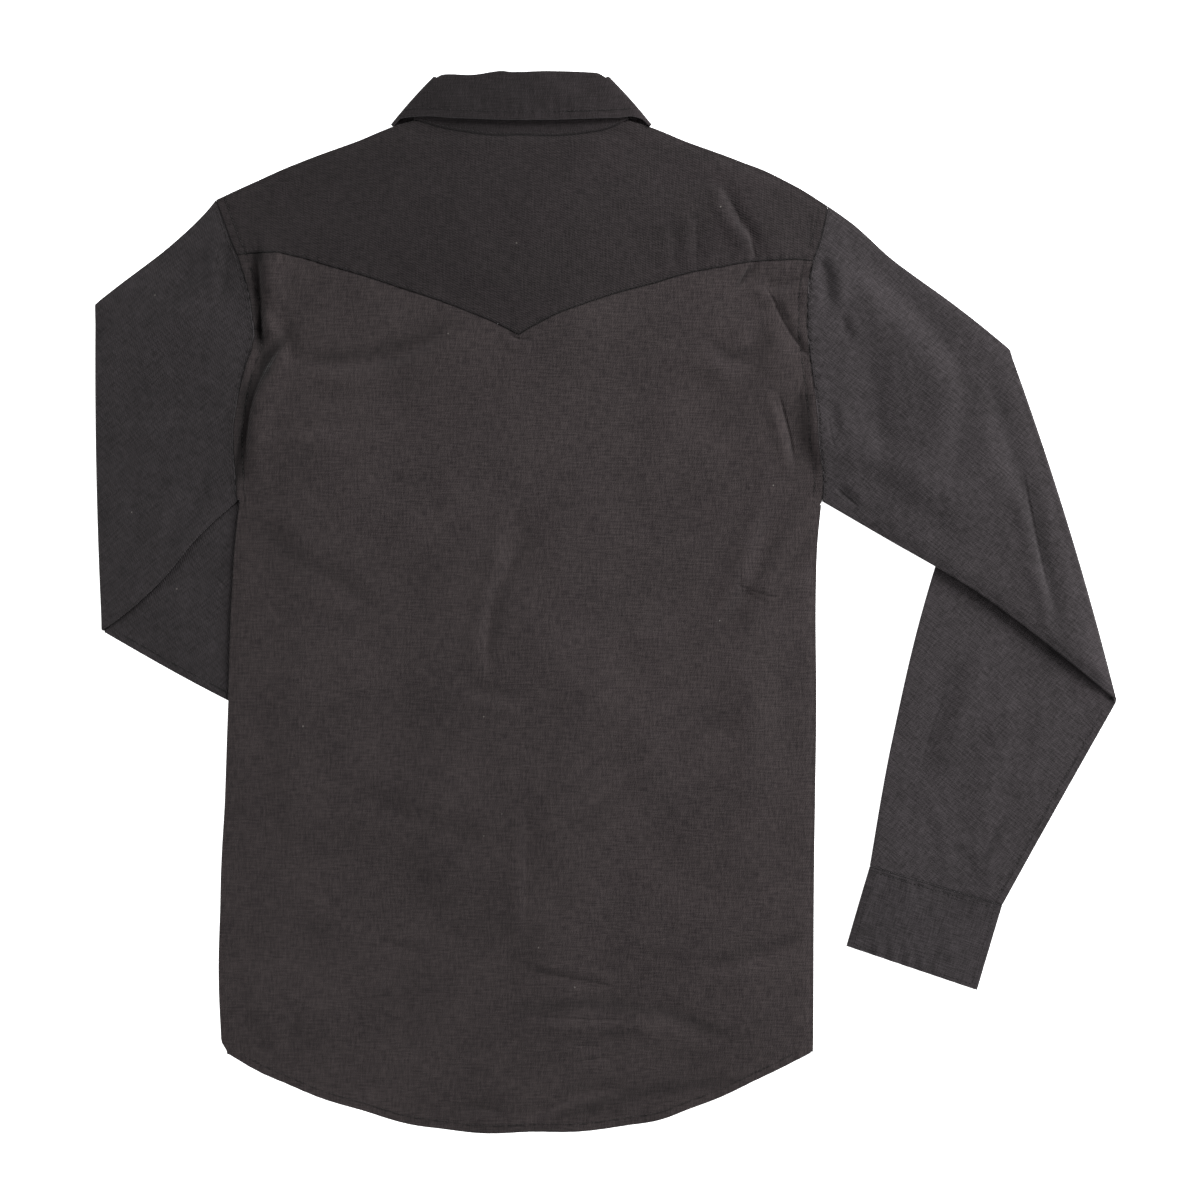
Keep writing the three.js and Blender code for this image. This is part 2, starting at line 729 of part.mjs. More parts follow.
// Heights down an armhole, shared by the body's edge and the sleeve sewn to it
function armholeHeights(which) {
  const k = which === 'left' ? 0 : LAST;
  const column = (rows, j) => rows.map((row) => row[j]);
  const upperYoke = yokeRows[k].slice(YOKE_FRONT_STEPS + TURN_STEPS);
  const under = UNDER_STEPS + TURN_STEPS;
  const edge = which === 'left' ? under : backRows[0].length - 1 - under;
  const upperBack = column(backRows, edge).slice(1, ARMHOLE_STEPS + 1);
  const lowerYoke = yokeRows[k].slice(0, YOKE_FRONT_STEPS + 1).reverse();
  const lowerFront = frontEdgeHeights(which).slice(1, FRONT_ARMHOLE_STEPS + 1);
  return {
    upper: [...upperYoke, ...upperBack].map((p) => p.v),
    lower: [...lowerYoke.map((p) => p.v), ...lowerFront],
  };
}

const spline = (points) => new THREE.SplineCurve(points.map((p) => new THREE.Vector2(p.u, p.v)));

function alongCurve(line, t) {
  const place = line.getPointAt(t);
  return { u: place.x, v: place.y };
}

// One ring of a flattened tube, between the ends of its rib.
// place gives each layer's point from its share along the rib and its side, 1 upper and -1 lower.
function tubeRing(shares, rib, place) {
  const length = Math.hypot(rib.b.u - rib.a.u, rib.b.v - rib.a.v);
  const outU = (rib.b.u - rib.a.u) / length;
  const outV = (rib.b.v - rib.a.v) / length;
  const inset = (share) => lerp(rib.inset / length, 1 - rib.inset / length, share);
  const upper = shares.upper.map((share) => place(inset(share), 1));
  const lower = shares.lower.map((share) => place(inset(share), -1)).reverse();
  const far = turnPoints(lastOf(upper), firstOf(lower), outU, outV);
  const near = turnPoints(lastOf(lower), firstOf(upper), -outU, -outV);
  return [...upper, ...far, ...lower, ...near];
}

function armShares(which) {
  const heights = armholeHeights(which);
  const share = (list) => list.map((v) => (v - list[0]) / (lastOf(list) - list[0]));
  return { upper: share(heights.upper), lower: share(heights.lower), heights };
}

const ribPoint = (rib, share) => ({ u: lerp(rib.a.u, rib.b.u, share), v: lerp(rib.a.v, rib.b.v, share) });

// Upper arm: from the armhole's curve to the fold
function upperArmRings(which, shares) {
  const sleeve = SLEEVES[which];
  const top = spline(sleeve.top);
  const low = spline(sleeve.low);
  const rings = [];
  for (let n = 0; n <= UPPER_ARM_STEPS; n += 1) {
    const t = (n / UPPER_ARM_STEPS) * UPPER_ARM_END;
    const rib = { a: alongCurve(top, t), b: alongCurve(low, t), inset: INSET };
    const bow = (1 - t) ** 2;
    rings.push(tubeRing(shares, rib, (share, layer) => {
      const list = layer > 0 ? shares.heights.upper : shares.heights.lower;
      const straight = ribPoint(rib, share);
      const v = t === 0 ? nearestHeight(list, share, rib) : straight.v;
      const hole = armhole[which](clamp(v, firstOf(ARMHOLE).v, lastOf(ARMHOLE).v)) + sleeve.outward * SEAM;
      const ends = lerp(firstOf(sleeve.top).u, firstOf(sleeve.low).u, share);
      const u = straight.u + (hole - ends) * bow;
      const lower = forearmHeight(u, v, which) + bodyLift(which, u, v) + CLOTH / 2;
      const z = layer > 0 ? lower + LAYER + armLoft(u, v) : lower;
      return { u, v, z };
    }));
  }
  return rings;
}

// The armhole's own height for a share of its rib
function nearestHeight(list, share, rib) {
  const v = lerp(rib.a.v, rib.b.v, share);
  return list.reduce((best, height) => (Math.abs(height - v) < Math.abs(best - v) ? height : best), list[0]);
}

function bodyLift(which, u, v) {
  return which === 'left' ? leafOrSnapHeight(u, v) : 0;
}

function armLoft(u, v) {
  return LOFT * (1 - fade(edgeDistance(u, v), 0, LOFT_REACH));
}

// 0 at both ends of a rib and 1 in its middle
const bowed = (share) => 4 * share * (1 - share);

// The fold: both layers turn under about its line
function foldRings(which, shares) {
  const sleeve = SLEEVES[which];
  const a = lastOf(sleeve.top);
  const b = lastOf(sleeve.low);
  const length = Math.hypot(b.u - a.u, b.v - a.v);
  const outU = (-sleeve.outward * (b.v - a.v)) / length;
  const outV = (sleeve.outward * (b.u - a.u)) / length;
  const rings = [];
  for (let n = 1; n < TURN_STEPS; n += 1) {
    const angle = (Math.PI * n) / TURN_STEPS;
    const rib = { a, b, inset: INSET };
    rings.push(tubeRing(shares, rib, (share, layer) => {
      const radius = LAYER + layer * TURN;
      const bow = sleeve.foldBow * bowed(share) - 2 * LAYER + radius * Math.sin(angle);
      const place = ribPoint(rib, share);
      return {
        u: place.u + outU * bow,
        v: place.v + outV * bow,
        z: LAYER + CLOTH / 2 + TURN + radius * Math.cos(angle),
      };
    }));
  }
  return rings;
}

// Lift of the forearm's end by the cuff's snap
function cuffLift(t) {
  return LAYER * THREE.MathUtils.smoothstep(t, CUFF_LIFT_START, 1);
}

// Forearm: the upper arm's outer layer lies on the floor now
function forearmRings(which, shares) {
  const sleeve = SLEEVES[which];
  const top = spline(sleeve.forearmTop);
  const low = spline(sleeve.forearmLow);
  const elbow = [firstOf(sleeve.low), lastOf(sleeve.low)];
  const rings = [];
  for (let n = 0; n <= FOREARM_STEPS; n += 1) {
    const t = lerp(FOREARM_START, FOREARM_END, n / FOREARM_STEPS);
    const rib = { a: alongCurve(top, t), b: alongCurve(low, t), inset: INSET };
    rings.push(tubeRing(shares, rib, (share, layer) => {
      const { u, v } = ribPoint(rib, share);
      const floor = cuffLift(t) + CLOTH / 2;
      if (layer > 0) return { u, v, z: floor };
      const edges = Math.min(pathDistance(u, v, sleeve.forearmTop), pathDistance(u, v, sleeve.forearmLow));
      const clear = which === 'right' && v < elbowLine(elbow, u) ? lineDistance(u, v, ...elbow) : 0;
      const free = Math.min(edges, clear, WRIST_EASE * (1 - t));
      const open = 1 - fade(free, FOREARM_LOFT_MARGIN, FOREARM_LOFT_RAMP);
      return { u, v, z: floor + LAYER + FOREARM_LOFT * open };
    }));
  }
  return rings;
}

function elbowLine([a, b], u) {
  return lerp(a.v, b.v, (u - a.u) / (b.u - a.u));
}

function sleeve(which) {
  const shares = armShares(which);
  const arm = upperArmRings(which, shares);
  const rings = [...arm, ...foldRings(which, shares), ...forearmRings(which, shares)];
  return clothWall(toGrid(rings), { loop: true });
}

// Cuff: a flattened band on the forearm's end
function cuff(which) {
  const shares = armShares(which);
  const { forearmTop, forearmLow, cuffEnd } = SLEEVES[which];
  const from = { a: lastOf(forearmTop), b: lastOf(forearmLow) };
  const rings = [];
  for (let n = 0; n <= CUFF_STEPS; n += 1) {
    const t = n / CUFF_STEPS;
    const a = { u: lerp(from.a.u, cuffEnd[0].u, t), v: lerp(from.a.v, cuffEnd[0].v, t) };
    const b = { u: lerp(from.b.u, cuffEnd[1].u, t), v: lerp(from.b.v, cuffEnd[1].v, t) };
    const rib = { a, b, inset: (CUFF_LAYER + CUFF_CLOTH) / 2 };
    rings.push(tubeRing(shares, rib, (share, layer) => {
      const { u, v } = ribPoint(rib, share);
      const floor = LAYER + CUFF_CLOTH / 2;
      return { u, v, z: layer > 0 ? floor : floor + CUFF_LAYER };
    }));
  }
  return clothWall(toGrid(rings), { thick: CUFF_CLOTH, loop: true });
}

// The collar's front rows for one half, then its side fold, each with a level for the turn
function collarStations() {
  const stations = [];
  for (let i = COLLAR.length - 1; i >= 1; i -= 1) {
    stations.push({ row: COLLAR[i], sign: -1, turn: Math.PI });
  }
  for (let n = TURN_STEPS; n >= 0; n -= 1) {
    stations.push({ row: COLLAR[0], sign: -1, turn: (Math.PI * n) / TURN_STEPS });
  }
  return stations;
}

// Outward direction of a fold line that runs from one place of the collar's half to another
function foldOutward(from, to, sign) {
  const length = Math.hypot(to.u - from.u, to.v - from.v);
  return { u: (sign * Math.abs(to.v - from.v)) / length, v: Math.abs(to.u - from.u) / length };
}

// Level of the band's cloth, and of the leaf one layer outside it. The right half laps over the left.
function bandLevel(u, v, turn, leaf, sign) {
  const over = sign > 0 ? lap(u, v) : 0;
  const low = CLOTH / 2 + (leaf ? 0 : LAYER + over);
  const high = CLOTH / 2 + 2 * LAYER + lap(u, v) + (leaf ? LAYER : 0);
  return { low, high, share: (1 + Math.cos(turn)) / 2 };
}

function standPoint({ row, sign, turn }, t) {
  const u = sign * lerp(row.neckU, row.bandU, t);
  const v = lerp(row.neckV + SEAM, row.bandV, t);
  const { low, high, share } = bandLevel(u, v, turn, false, sign);
  const out = foldOutward({ u: row.bandU, v: row.bandV }, { u: row.neckU, v: row.neckV }, sign);
  const bulge = ((high - low) / 2) * Math.sin(turn);
  return { u: u + out.u * bulge, v: v + out.v * bulge, z: lerp(low, high, share) };
}

function mirrorStations(stations) {
  return [...stations].reverse().map((station) => ({ ...station, sign: 1 }));
}

// The band's left half runs past the centre front, for the right half to lap over
function standEnd() {
  return [COLLAR_OVERLAP, COLLAR_FRONT].map((row) => ({ row, sign: -1, turn: Math.PI }));
}

function collarStand() {
  const rows = [];
  const left = [...standEnd(), ...collarStations()];
  const right = mirrorStations(left);
  const lay = (station) => rows.push(STAND_SHARES.map((t) => standPoint(station, t)));
  left.forEach(lay);
  for (let k = NECK_FROM + 1; k < NECK_TO; k += 1) {
    const u = yokeTopU[k];
    rows.push(STAND_SHARES.map((t) => {
      const across = u * lerp(1, COLLAR[0].bandU / NECK_SIDE, t);
      const v = lerp(backNeck(u) + SEAM, BAND_BACK_V, t);
      return { u: across, v, z: bandLevel(across, v, 0, false, 1).high };
    }));
  }
  right.forEach(lay);
  return clothWall(toGrid(rows));
}

// One row of the leaf: inside cloth from the band, the roll, then down to the outer edge
function leafRow(band, roll, edge, level) {
  const from = { u: lerp(band.u, roll.u, LEAF_START), v: lerp(band.v, roll.v, LEAF_START) };
  const start = { ...from, z: level.inner(band) };
  const inner = { u: roll.u, v: roll.v, z: level.inner(roll) };
  const outer = { u: roll.u, v: roll.v, z: level.outer(roll) };
  const length = Math.hypot(roll.u - edge.u, roll.v - edge.v);
  const turn = turnPoints(inner, outer, (roll.u - edge.u) / length, (roll.v - edge.v) / length);
  const row = [start, inner, ...turn, outer];
  for (let n = 1; n <= LEAF_STEPS; n += 1) {
    const t = n / LEAF_STEPS;
    const place = { u: lerp(roll.u, edge.u, t), v: lerp(roll.v, edge.v, t) };
    row.push({ ...place, z: level.outer(place) });
  }
  return row;
}

function leafFrontRow({ row, sign, turn }) {
  const out = foldOutward({ u: row.rollU, v: row.rollV }, { u: row.edgeU, v: row.edgeV }, sign);
  const level = (place, leaf) => bandLevel(place.u, place.v, turn, leaf, sign);
  const height = (place, leaf) => {
    const { low, high, share } = level(place, leaf);
    return lerp(low, high, share);
  };
  const bulge = (place, leaf) => {
    const { low, high } = level(place, leaf);
    return ((high - low) / 2) * Math.sin(turn);
  };
  const place = (u, v) => ({ u: sign * u, v });
  const lines = [place(row.bandU, row.bandV), place(row.rollU, row.rollV), place(row.edgeU, row.edgeV)];
  const cloth = leafRow(...lines, {
    inner: (p) => height(p, false),
    outer: (p) => height(p, true),
  });
  return cloth.map((p, n) => {
    const share = clamp((n - 1) / TURN_STEPS, 0, 1);
    const off = lerp(bulge(p, false), bulge(p, true), share);
    return { u: p.u + out.u * off, v: p.v + out.v * off, z: p.z };
  });
}

function leafBackRow(where) {
  const first = COLLAR[0];
  const rollU = where * first.rollU;
  const edgeU = where * first.edgeU;
  const band = { u: where * first.bandU, v: lerp(BAND_BACK_V, first.bandV, where ** BAND_CORNER_POWER) };
  const over = (p) => bandLevel(p.u, p.v, 0, false, 1).high;
  return leafRow(band, { u: rollU, v: rollBack(rollU) }, { u: edgeU, v: leafEdge(edgeU) }, {
    inner: over,
    outer: (p) => over(p) + LAYER,
  });
}

function collarLeaf() {
  const left = collarStations();
  const rows = left.map(leafFrontRow);
  LEAF_STATIONS.slice(1, -1).forEach((where) => rows.push(leafBackRow(where)));
  rows.push(...mirrorStations(left).map(leafFrontRow));
  return clothWall(toGrid(rows));
}

// Snap caps: flat discs under the cloth they hold
function snapCap() {
  const { radius, edge } = SNAP;
  const profile = [
    [0, 0],
    [radius - edge, 0],
    [radius, edge],
    [radius, CLOTH - edge],
    [radius - edge, CLOTH],
    [0, CLOTH],
  ];
  const geometry = new THREE.LatheGeometry(profile.map(([x, y]) => new THREE.Vector2(x, y)), SNAP.sides);
  geometry.rotateX(Math.PI / 2);
  return geometry;
}

// A cap lies square to the slope of what is under it
function addSnap(name, u, v, under = () => 0) {
  const cap = addPiece(name, snapCap(), SNAP_METAL);
  cap.position.copy(point(u, v, under(u, v)));
  const { radius } = SNAP;
  const rise = (under(u, v + radius) - under(u, v - radius)) / (2 * radius);
  const tilt = (under(u + radius, v) - under(u - radius, v)) / (2 * radius);
  const square = new THREE.Vector3(-tilt, -rise, 1).normalize();
  cap.quaternion.setFromUnitVectors(new THREE.Vector3(0, 0, 1), square);
}

addPiece('back', back(), FABRIC);
addPiece('yoke', yoke(), FABRIC);
addPiece('front_left', frontLeft(), FABRIC);
addPiece('front_right', frontRight(), FABRIC);
addPiece('placket', placket(), FABRIC);
addPiece('sleeve_left', sleeve('left'), FABRIC);
addPiece('sleeve_right', sleeve('right'), FABRIC);
addPiece('cuff_left', cuff('left'), FABRIC);
addPiece('cuff_right', cuff('right'), FABRIC);
addPiece('collar_stand', collarStand(), FABRIC);
addPiece('collar_leaf', collarLeaf(), FABRIC);

addSnap('snap_neck', NECK_SNAP.u, NECK_SNAP.v);
for (let n = 0; n < FRONT_SNAPS; n += 1) {
  const v = SNAP_FIRST_V - n * SNAP_PITCH;
  addSnap(`snap_front_${n + 1}`, placketCentre(v), v, (x, y) => forearmHeight(x, y, 'left'));
}
['left', 'right'].forEach((which) => {
  const corners = cuffShape(SLEEVES[which]);
  const middle = (key) => corners.reduce((sum, corner) => sum + corner[key], 0) / corners.length;
  addSnap(`snap_cuff_${which}`, middle('u'), middle('v'));
});

export default group;
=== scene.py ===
# %% [markdown]
# # A western snap shirt, laid flat on its fronts
# The CAD model gives the shirt's pieces, sizes and places. This lesson dresses them: each panel
# becomes a thin closed shell of cloth on its solid's own form, with the creases, seams, stitches
# and weave of the real one. Start by loading the frame, so that every measure below is in it.

# %% Load the frame
import math

import bpy
import numpy as np
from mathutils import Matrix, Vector
from mathutils.bvhtree import BVHTree


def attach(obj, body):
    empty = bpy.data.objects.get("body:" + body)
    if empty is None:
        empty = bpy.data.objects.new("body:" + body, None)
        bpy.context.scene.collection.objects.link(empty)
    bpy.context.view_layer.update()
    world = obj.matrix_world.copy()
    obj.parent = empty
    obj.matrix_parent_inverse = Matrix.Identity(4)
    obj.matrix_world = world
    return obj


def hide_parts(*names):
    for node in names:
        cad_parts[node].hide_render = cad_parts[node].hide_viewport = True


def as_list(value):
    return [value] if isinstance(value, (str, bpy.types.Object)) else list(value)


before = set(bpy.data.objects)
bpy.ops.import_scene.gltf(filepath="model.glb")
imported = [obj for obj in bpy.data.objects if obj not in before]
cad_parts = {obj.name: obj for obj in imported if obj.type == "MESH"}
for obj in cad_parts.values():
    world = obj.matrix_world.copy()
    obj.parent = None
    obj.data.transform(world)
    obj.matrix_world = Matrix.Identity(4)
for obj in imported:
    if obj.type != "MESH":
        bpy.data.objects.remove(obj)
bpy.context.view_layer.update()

# %% [markdown]
# ## Camera, floor and light
# The shirt lies on a pale floor and is seen from straight above, with a long lens far away, so
# that its outline stays true. Two soft boxes light it: a strong low one on the right, which draws
# the creases, and a weak one on the left. A pale world fills what neither reaches.

# %% Camera
MM = 0.001
VIEW_WIDTH = 0.948
VIEW_CENTRE = (-0.0046, 0.0012)
LENS = 100.0
SENSOR = 36.0
CLOTH_HEIGHT = 0.010

camera_data = bpy.data.cameras.new("camera")
camera_data.lens = LENS
camera_data.sensor_width = SENSOR
camera_data.sensor_fit = "HORIZONTAL"
camera_data.clip_end = 20.0
camera = bpy.data.objects.new("camera", camera_data)
camera.location = (*VIEW_CENTRE, VIEW_WIDTH * LENS / SENSOR + CLOTH_HEIGHT)
bpy.context.scene.collection.objects.link(camera)
bpy.context.scene.camera = camera
print("camera height in metres:", round(camera.location.z, 3))

# %% Helpers for colours and nodes


def linear(hex_colour):
    """An sRGB hex colour as linear red, green, blue and alpha."""
    parts = [int(hex_colour[i : i + 2], 16) / 255 for i in (1, 3, 5)]
    return (*[p / 12.92 if p <= 0.04045 else ((p + 0.055) / 1.055) ** 2.4 for p in parts], 1.0)


def add(tree, kind, inputs=None, **settings):
    """One node in a tree, with its settings and with values or links on its inputs."""
    made = tree.nodes.new(kind)
    for name, value in settings.items():
        setattr(made, name, value)
    for socket, value in (inputs or {}).items():
        if isinstance(value, bpy.types.NodeSocket):
            tree.links.new(value, made.inputs[socket])
        else:
            made.inputs[socket].default_value = value
    return made


def new_material(name):
    """An empty material and its tree, with the output ready."""
    material = bpy.data.materials.new(name)
    material.use_nodes = True
    tree = material.node_tree
    tree.nodes.clear()
    return material, tree


# %% Floor
FLOOR_SIZE = 30.0
FLOOR_BELOW = 0.0003

floor_material, tree = new_material("floor_matt_white_paper")
paper = add(tree, "ShaderNodeBsdfPrincipled", {"Base Color": linear("#f4f4f4"), "Roughness": 1.0})
paper.inputs["Specular IOR Level"].default_value = 0.0
paper.inputs["Emission Color"].default_value = linear("#ffffff")
paper.inputs["Emission Strength"].default_value = 1.0
add(tree, "ShaderNodeOutputMaterial", {"Surface": paper.outputs[0]})

floor_mesh = bpy.data.meshes.new("floor")
half = FLOOR_SIZE / 2
floor_mesh.from_pydata(
    [(x, y, -FLOOR_BELOW) for x, y in ((-half, -half), (half, -half), (half, half), (-half, half))],
    [],
    [(0, 1, 2, 3)],
)
floor = bpy.data.objects.new("floor", floor_mesh)
floor.data.materials.append(floor_material)
bpy.context.scene.collection.objects.link(floor)

# %% Lights
# Columns: name, place, size, power in watts
SOFT_BOXES = (
    ("key_top_right", (1.5, 1.85, 1.15), 1.1, 135.0),
    ("side_right", (1.9, -0.5, 0.6), 0.7, 34.0),
    ("side_left", (-1.9, -0.7, 0.8), 0.8, 38.0),
)
AIM = Vector((0.0, 0.0, 0.0))

for name, place, size, power in SOFT_BOXES:
    box_data = bpy.data.lights.new(name, "AREA")
    box_data.size = size
    box_data.energy = power
    soft_box = bpy.data.objects.new(name, box_data)
    soft_box.location = place
    soft_box.rotation_euler = (AIM - soft_box.location).to_track_quat("-Z", "Y").to_euler()
    bpy.context.scene.collection.objects.link(soft_box)

world = bpy.data.worlds.new("studio")
world.use_nodes = True
world.node_tree.nodes["Background"].inputs["Color"].default_value = linear("#ffffff")
world.node_tree.nodes["Background"].inputs["Strength"].default_value = 0.25
bpy.context.scene.world = world
bpy.context.scene.view_settings.view_transform = "Standard"
print("lights:", [row[0] for row in SOFT_BOXES])

# %% [markdown]
# ## The pattern pieces' outlines
# A tailor cuts panels from flat outlines, so the lesson keeps them as short tables, in
# millimetres. u runs to the right of the centre back, v runs up from the back neck seam. They are
# the CAD model's own tables, which keeps each shell on its solid. Only the collar's roll is drawn
# a little more finely here.

# %% Outlines
CLOTH = 1.0
CUFF_CLOTH = 1.4
SEAM_CLOTH = 0.3
GAP = 0.35
SEAM = 0.2
LAYER = CLOTH + GAP
TURN = LAYER / 2
INSET = TURN + CLOTH / 2
CUFF_LAYER = CUFF_CLOTH + GAP
LOFT_REACH = 60.0
FOREARM_LOFT = 1.6
LIFT_MARGIN = 22.0
LIFT_RAMP = 56.0
LAP_EASE = 0.35
MIDDLE_U = 66.98
MIDDLE_V = -369.32

# Columns: out from the centre, v on the left, v on the right
SHOULDER = np.array(
    [
        (84, 12, 12), (104, 6, 6), (130, -4.7, -4.7), (173.5, -20.5, -20.5), (210, -36.3, -36.3),
        (243, -51.5, -56),
    ]
)  # fmt: skip
# Columns: u, v
BACK_NECK = np.array([(-84, 12), (-47, 3), (0, 0), (59, 3), (84, 12)])
YOKE_POINT = (-1.6, -158.4)
YOKE_SEAM_LEFT = np.array(
    [(-227, -95), (-200, -93), (-186, -94.5), (-155, -103), (-96, -121), (-32, -144), YOKE_POINT]
)
YOKE_SEAM_RIGHT = np.array(
    [YOKE_POINT, (10.5, -151), (44, -136), (103.5, -118), (156, -105), (209, -99), (232, -100)]
)
HEM = np.array(
    [
        (-238, -722), (-231.5, -728), (-187, -750), (-125, -771.5), (-63, -785.6),
        (9, -787.9), (86, -783), (134, -770), (186, -747.5), (231, -726),
    ]
)  # fmt: skip
# Columns: v, u on the left, u on the right
ARMHOLE = np.array(
    [
        (-290, -225, 238.5), (-268, -226.7, 239), (-242, -227.5, 235.6), (-221, -226, 234.5),
        (-182, -218, 229.5), (-168, -213, 228), (-146, -213, 226.6), (-105, -221.6, 230),
        (-83, -230, 237), (-51, -242, 244),
    ]
)  # fmt: skip
SIDE = np.array(
    [
        (-790, -231, 230), (-727, -233, 231), (-716, -238, 231.5), (-605, -238.6, 232),
        (-526, -235, 233), (-447, -232, 234), (-344, -228, 234), (-290, -223, 238),
    ]
)  # fmt: skip
# Sleeves: the upper arm's two edges up to its fold, then the forearm folded under it and the cuff
SLEEVES = {
    "left": {
        "outward": -1,
        "top": [(-242, -51), (-288, -92.5), (-337.5, -134)],
        "low": [(-225.5, -290), (-256, -318), (-283, -351), (-312, -378), (-332.5, -392.5)],
        "fold_bow": 2,
        "forearm_top": [(-337.5, -134), (16.6, -452)],
        "forearm_low": [(-332.5, -392.5), (-233, -447.5), (-47.4, -537)],
        "cuff_end": [(68.7, -490.6), (4.7, -576)],
    },
    "right": {
        "outward": 1,
        "top": [(244, -56), (268, -72), (300, -99.5), (340.5, -131), (387, -170)],
        "low": [(239, -290), (292, -321), (363, -363), (428, -412), (472, -448)],
        "fold_bow": 4,
        "forearm_top": [(387, -170), (325, -352), (294, -479), (276, -579)],
        "forearm_low": [(472, -448), (428, -526), (381, -610)],
        "cuff_end": [(257.5, -642), (361, -677)],
    },
}
# The collar's half from its side fold to the front.
# Columns: u and v of the neck seam, of the band's top, of the roll and of the outer edge
COLLAR = np.array(
    [
        (84, 12, 73, 37, 67.5, 44.5, 101.5, 7),
        (80, -18, 58, 6, 53, 11, 97, -26),
        (62, -50, 42, -26, 38, -22, 86, -56),
        (44, -68, 26, -43, 23, -39, 72, -84),
        (17, -78, 8, -50, 7, -46, 56, -108),
    ]
)
BAND_BACK_V = 36.0
ROLL_BACK = np.array(
    [(-67.5, 44.5), (-61, 47), (-39, 46.5), (-17, 49.5), (-8, 48.7), (58, 48.4), (67.5, 44.5)]
)
LEAF_EDGE = np.array(
    [(-101.5, 7), (-93, 13.5), (-52, 13), (6, 11.5), (77, 13.5), (93, 13.5), (101.5, 7)]
)
FRONT_YOKE = 30.0
NECK_SIDE = 84.0
FRONT_NECK_SIDE = 80.0
SIDE_WRAP = (3, 18, 32, 39, 42)
HEM_INSET = 4.0
PLACKET_HALF = 17.0
PLACKET_DRIFT = -12.0

# %% Curves through the tables


def smooth(value, low, high):
    """0 up to low and 1 from high on, with a soft way between."""
    share = np.clip((value - low) / (high - low), 0, 1)
    return share * share * (3 - 2 * share)


def fade(distance, margin, ramp):
    """1 up to the margin, then a soft way down to 0 over the ramp."""
    return 1 - smooth(distance, margin, margin + ramp)


def blend(a, b, share):
    return a + (b - a) * share


def curve(table, column=1):
    """A smooth curve through a table's first column and another one."""
    x = table[:, 0].astype(float)
    y = table[:, column].astype(float)
    before = np.r_[0, np.arange(len(x) - 1)]
    after = np.r_[np.arange(1, len(x)), len(x) - 1]
    slope = (y[after] - y[before]) / (x[after] - x[before])

    def at(value):
        i = np.clip(np.searchsorted(x, value, side="left") - 1, 0, len(x) - 2)
        span = x[i + 1] - x[i]
        t = np.clip((value - x[i]) / span, 0, 1)
        low = y[i] + slope[i] * span * t
        high = y[i + 1] - slope[i + 1] * span * (1 - t)
        return blend(low, high, t * t * (3 - 2 * t))

    return at


def flow(points, count):
    """Evenly spaced places on a smooth line through some points."""
    p = np.array(points, float)
    p = np.vstack([p[:1], p, p[-1:]])
    t = np.linspace(0, 1, 16, endpoint=False)[:, None]
    parts = []
    for i in range(len(p) - 3):
        lean0 = (p[i + 2] - p[i]) / 2
        lean1 = (p[i + 3] - p[i + 1]) / 2
        cubic = (2 * p[i + 1] - 2 * p[i + 2] + lean0 + lean1) * t**3
        square = (-3 * p[i + 1] + 3 * p[i + 2] - 2 * lean0 - lean1) * t**2
        parts.append(cubic + square + lean0 * t + p[i + 1])
    line = np.vstack([*parts, p[-1:]])
    reach = np.r_[0, np.cumsum(np.hypot(*np.diff(line, axis=0).T))]
    wanted = np.asarray(count) * reach[-1] if np.ndim(count) else np.linspace(0, reach[-1], count)
    return np.stack([np.interp(wanted, reach, line[:, 0]), np.interp(wanted, reach, line[:, 1])], axis=-1)


shoulder_left, shoulder_right = curve(SHOULDER, 1), curve(SHOULDER, 2)
back_neck = curve(BACK_NECK)
seam_left, seam_right = curve(YOKE_SEAM_LEFT), curve(YOKE_SEAM_RIGHT)
armhole = {"left": curve(ARMHOLE, 1), "right": curve(ARMHOLE, 2)}
side = {"left": curve(SIDE, 1), "right": curve(SIDE, 2)}
hem = curve(HEM)
roll_back = curve(ROLL_BACK)
leaf_edge = curve(LEAF_EDGE)


def shoulder(u):
    return np.where(u < 0, shoulder_left(-u), shoulder_right(u))


def yoke_seam(u):
    return np.where(u < YOKE_POINT[0], seam_left(u), seam_right(u))


def placket_centre(v):
    return PLACKET_DRIFT * smooth(-v, 80, 400)


print("centre back length in mm:", round(float(back_neck(0.0) - hem(0.0)), 1))

# %% [markdown]
# ## Levels
# A folded garment is a pile. Each panel lies on what is under it: the forearm and its cuff, the
# collar's leaf, the snaps, the placket's lap. The same fields as in the CAD model lift each level
# by what it lies on, one cloth and a breath of air at a time, so that no two shells meet.

# %% Distances


def line_distance(u, v, a, b):
    """Distance from places to the line between two others."""
    du, dv = b[0] - a[0], b[1] - a[1]
    t = np.clip(((u - a[0]) * du + (v - a[1]) * dv) / (du * du + dv * dv), 0, 1)
    return np.hypot(u - a[0] - du * t, v - a[1] - dv * t)


def path_distance(u, v, points):
    return np.minimum.reduce([line_distance(u, v, a, b) for a, b in zip(points[:-1], points[1:])])


def outside(u, v, corners):
    """How far places lie outside a four-sided shape whose corners run against the clock."""
    beyond = []
    for a, b in zip(corners, corners[1:] + corners[:1]):
        length = math.hypot(b[0] - a[0], b[1] - a[1])
        beyond.append(((u - a[0]) * (b[1] - a[1]) - (v - a[1]) * (b[0] - a[0])) / length)
    return np.maximum.reduce(beyond)


def forearm_shape(which):
    sleeve = SLEEVES[which]
    corners = [sleeve["forearm_top"][0], sleeve["forearm_low"][0], *sleeve["cuff_end"][::-1]]
    return corners if sleeve["outward"] < 0 else corners[::-1]


def cuff_shape(which):
    sleeve = SLEEVES[which]
    return [sleeve["forearm_top"][-1], sleeve["forearm_low"][-1], *sleeve["cuff_end"][::-1]]


# %% Levels from the floor up
LEAF_HALF = 108.0
LEAF_DEEP = 115.0


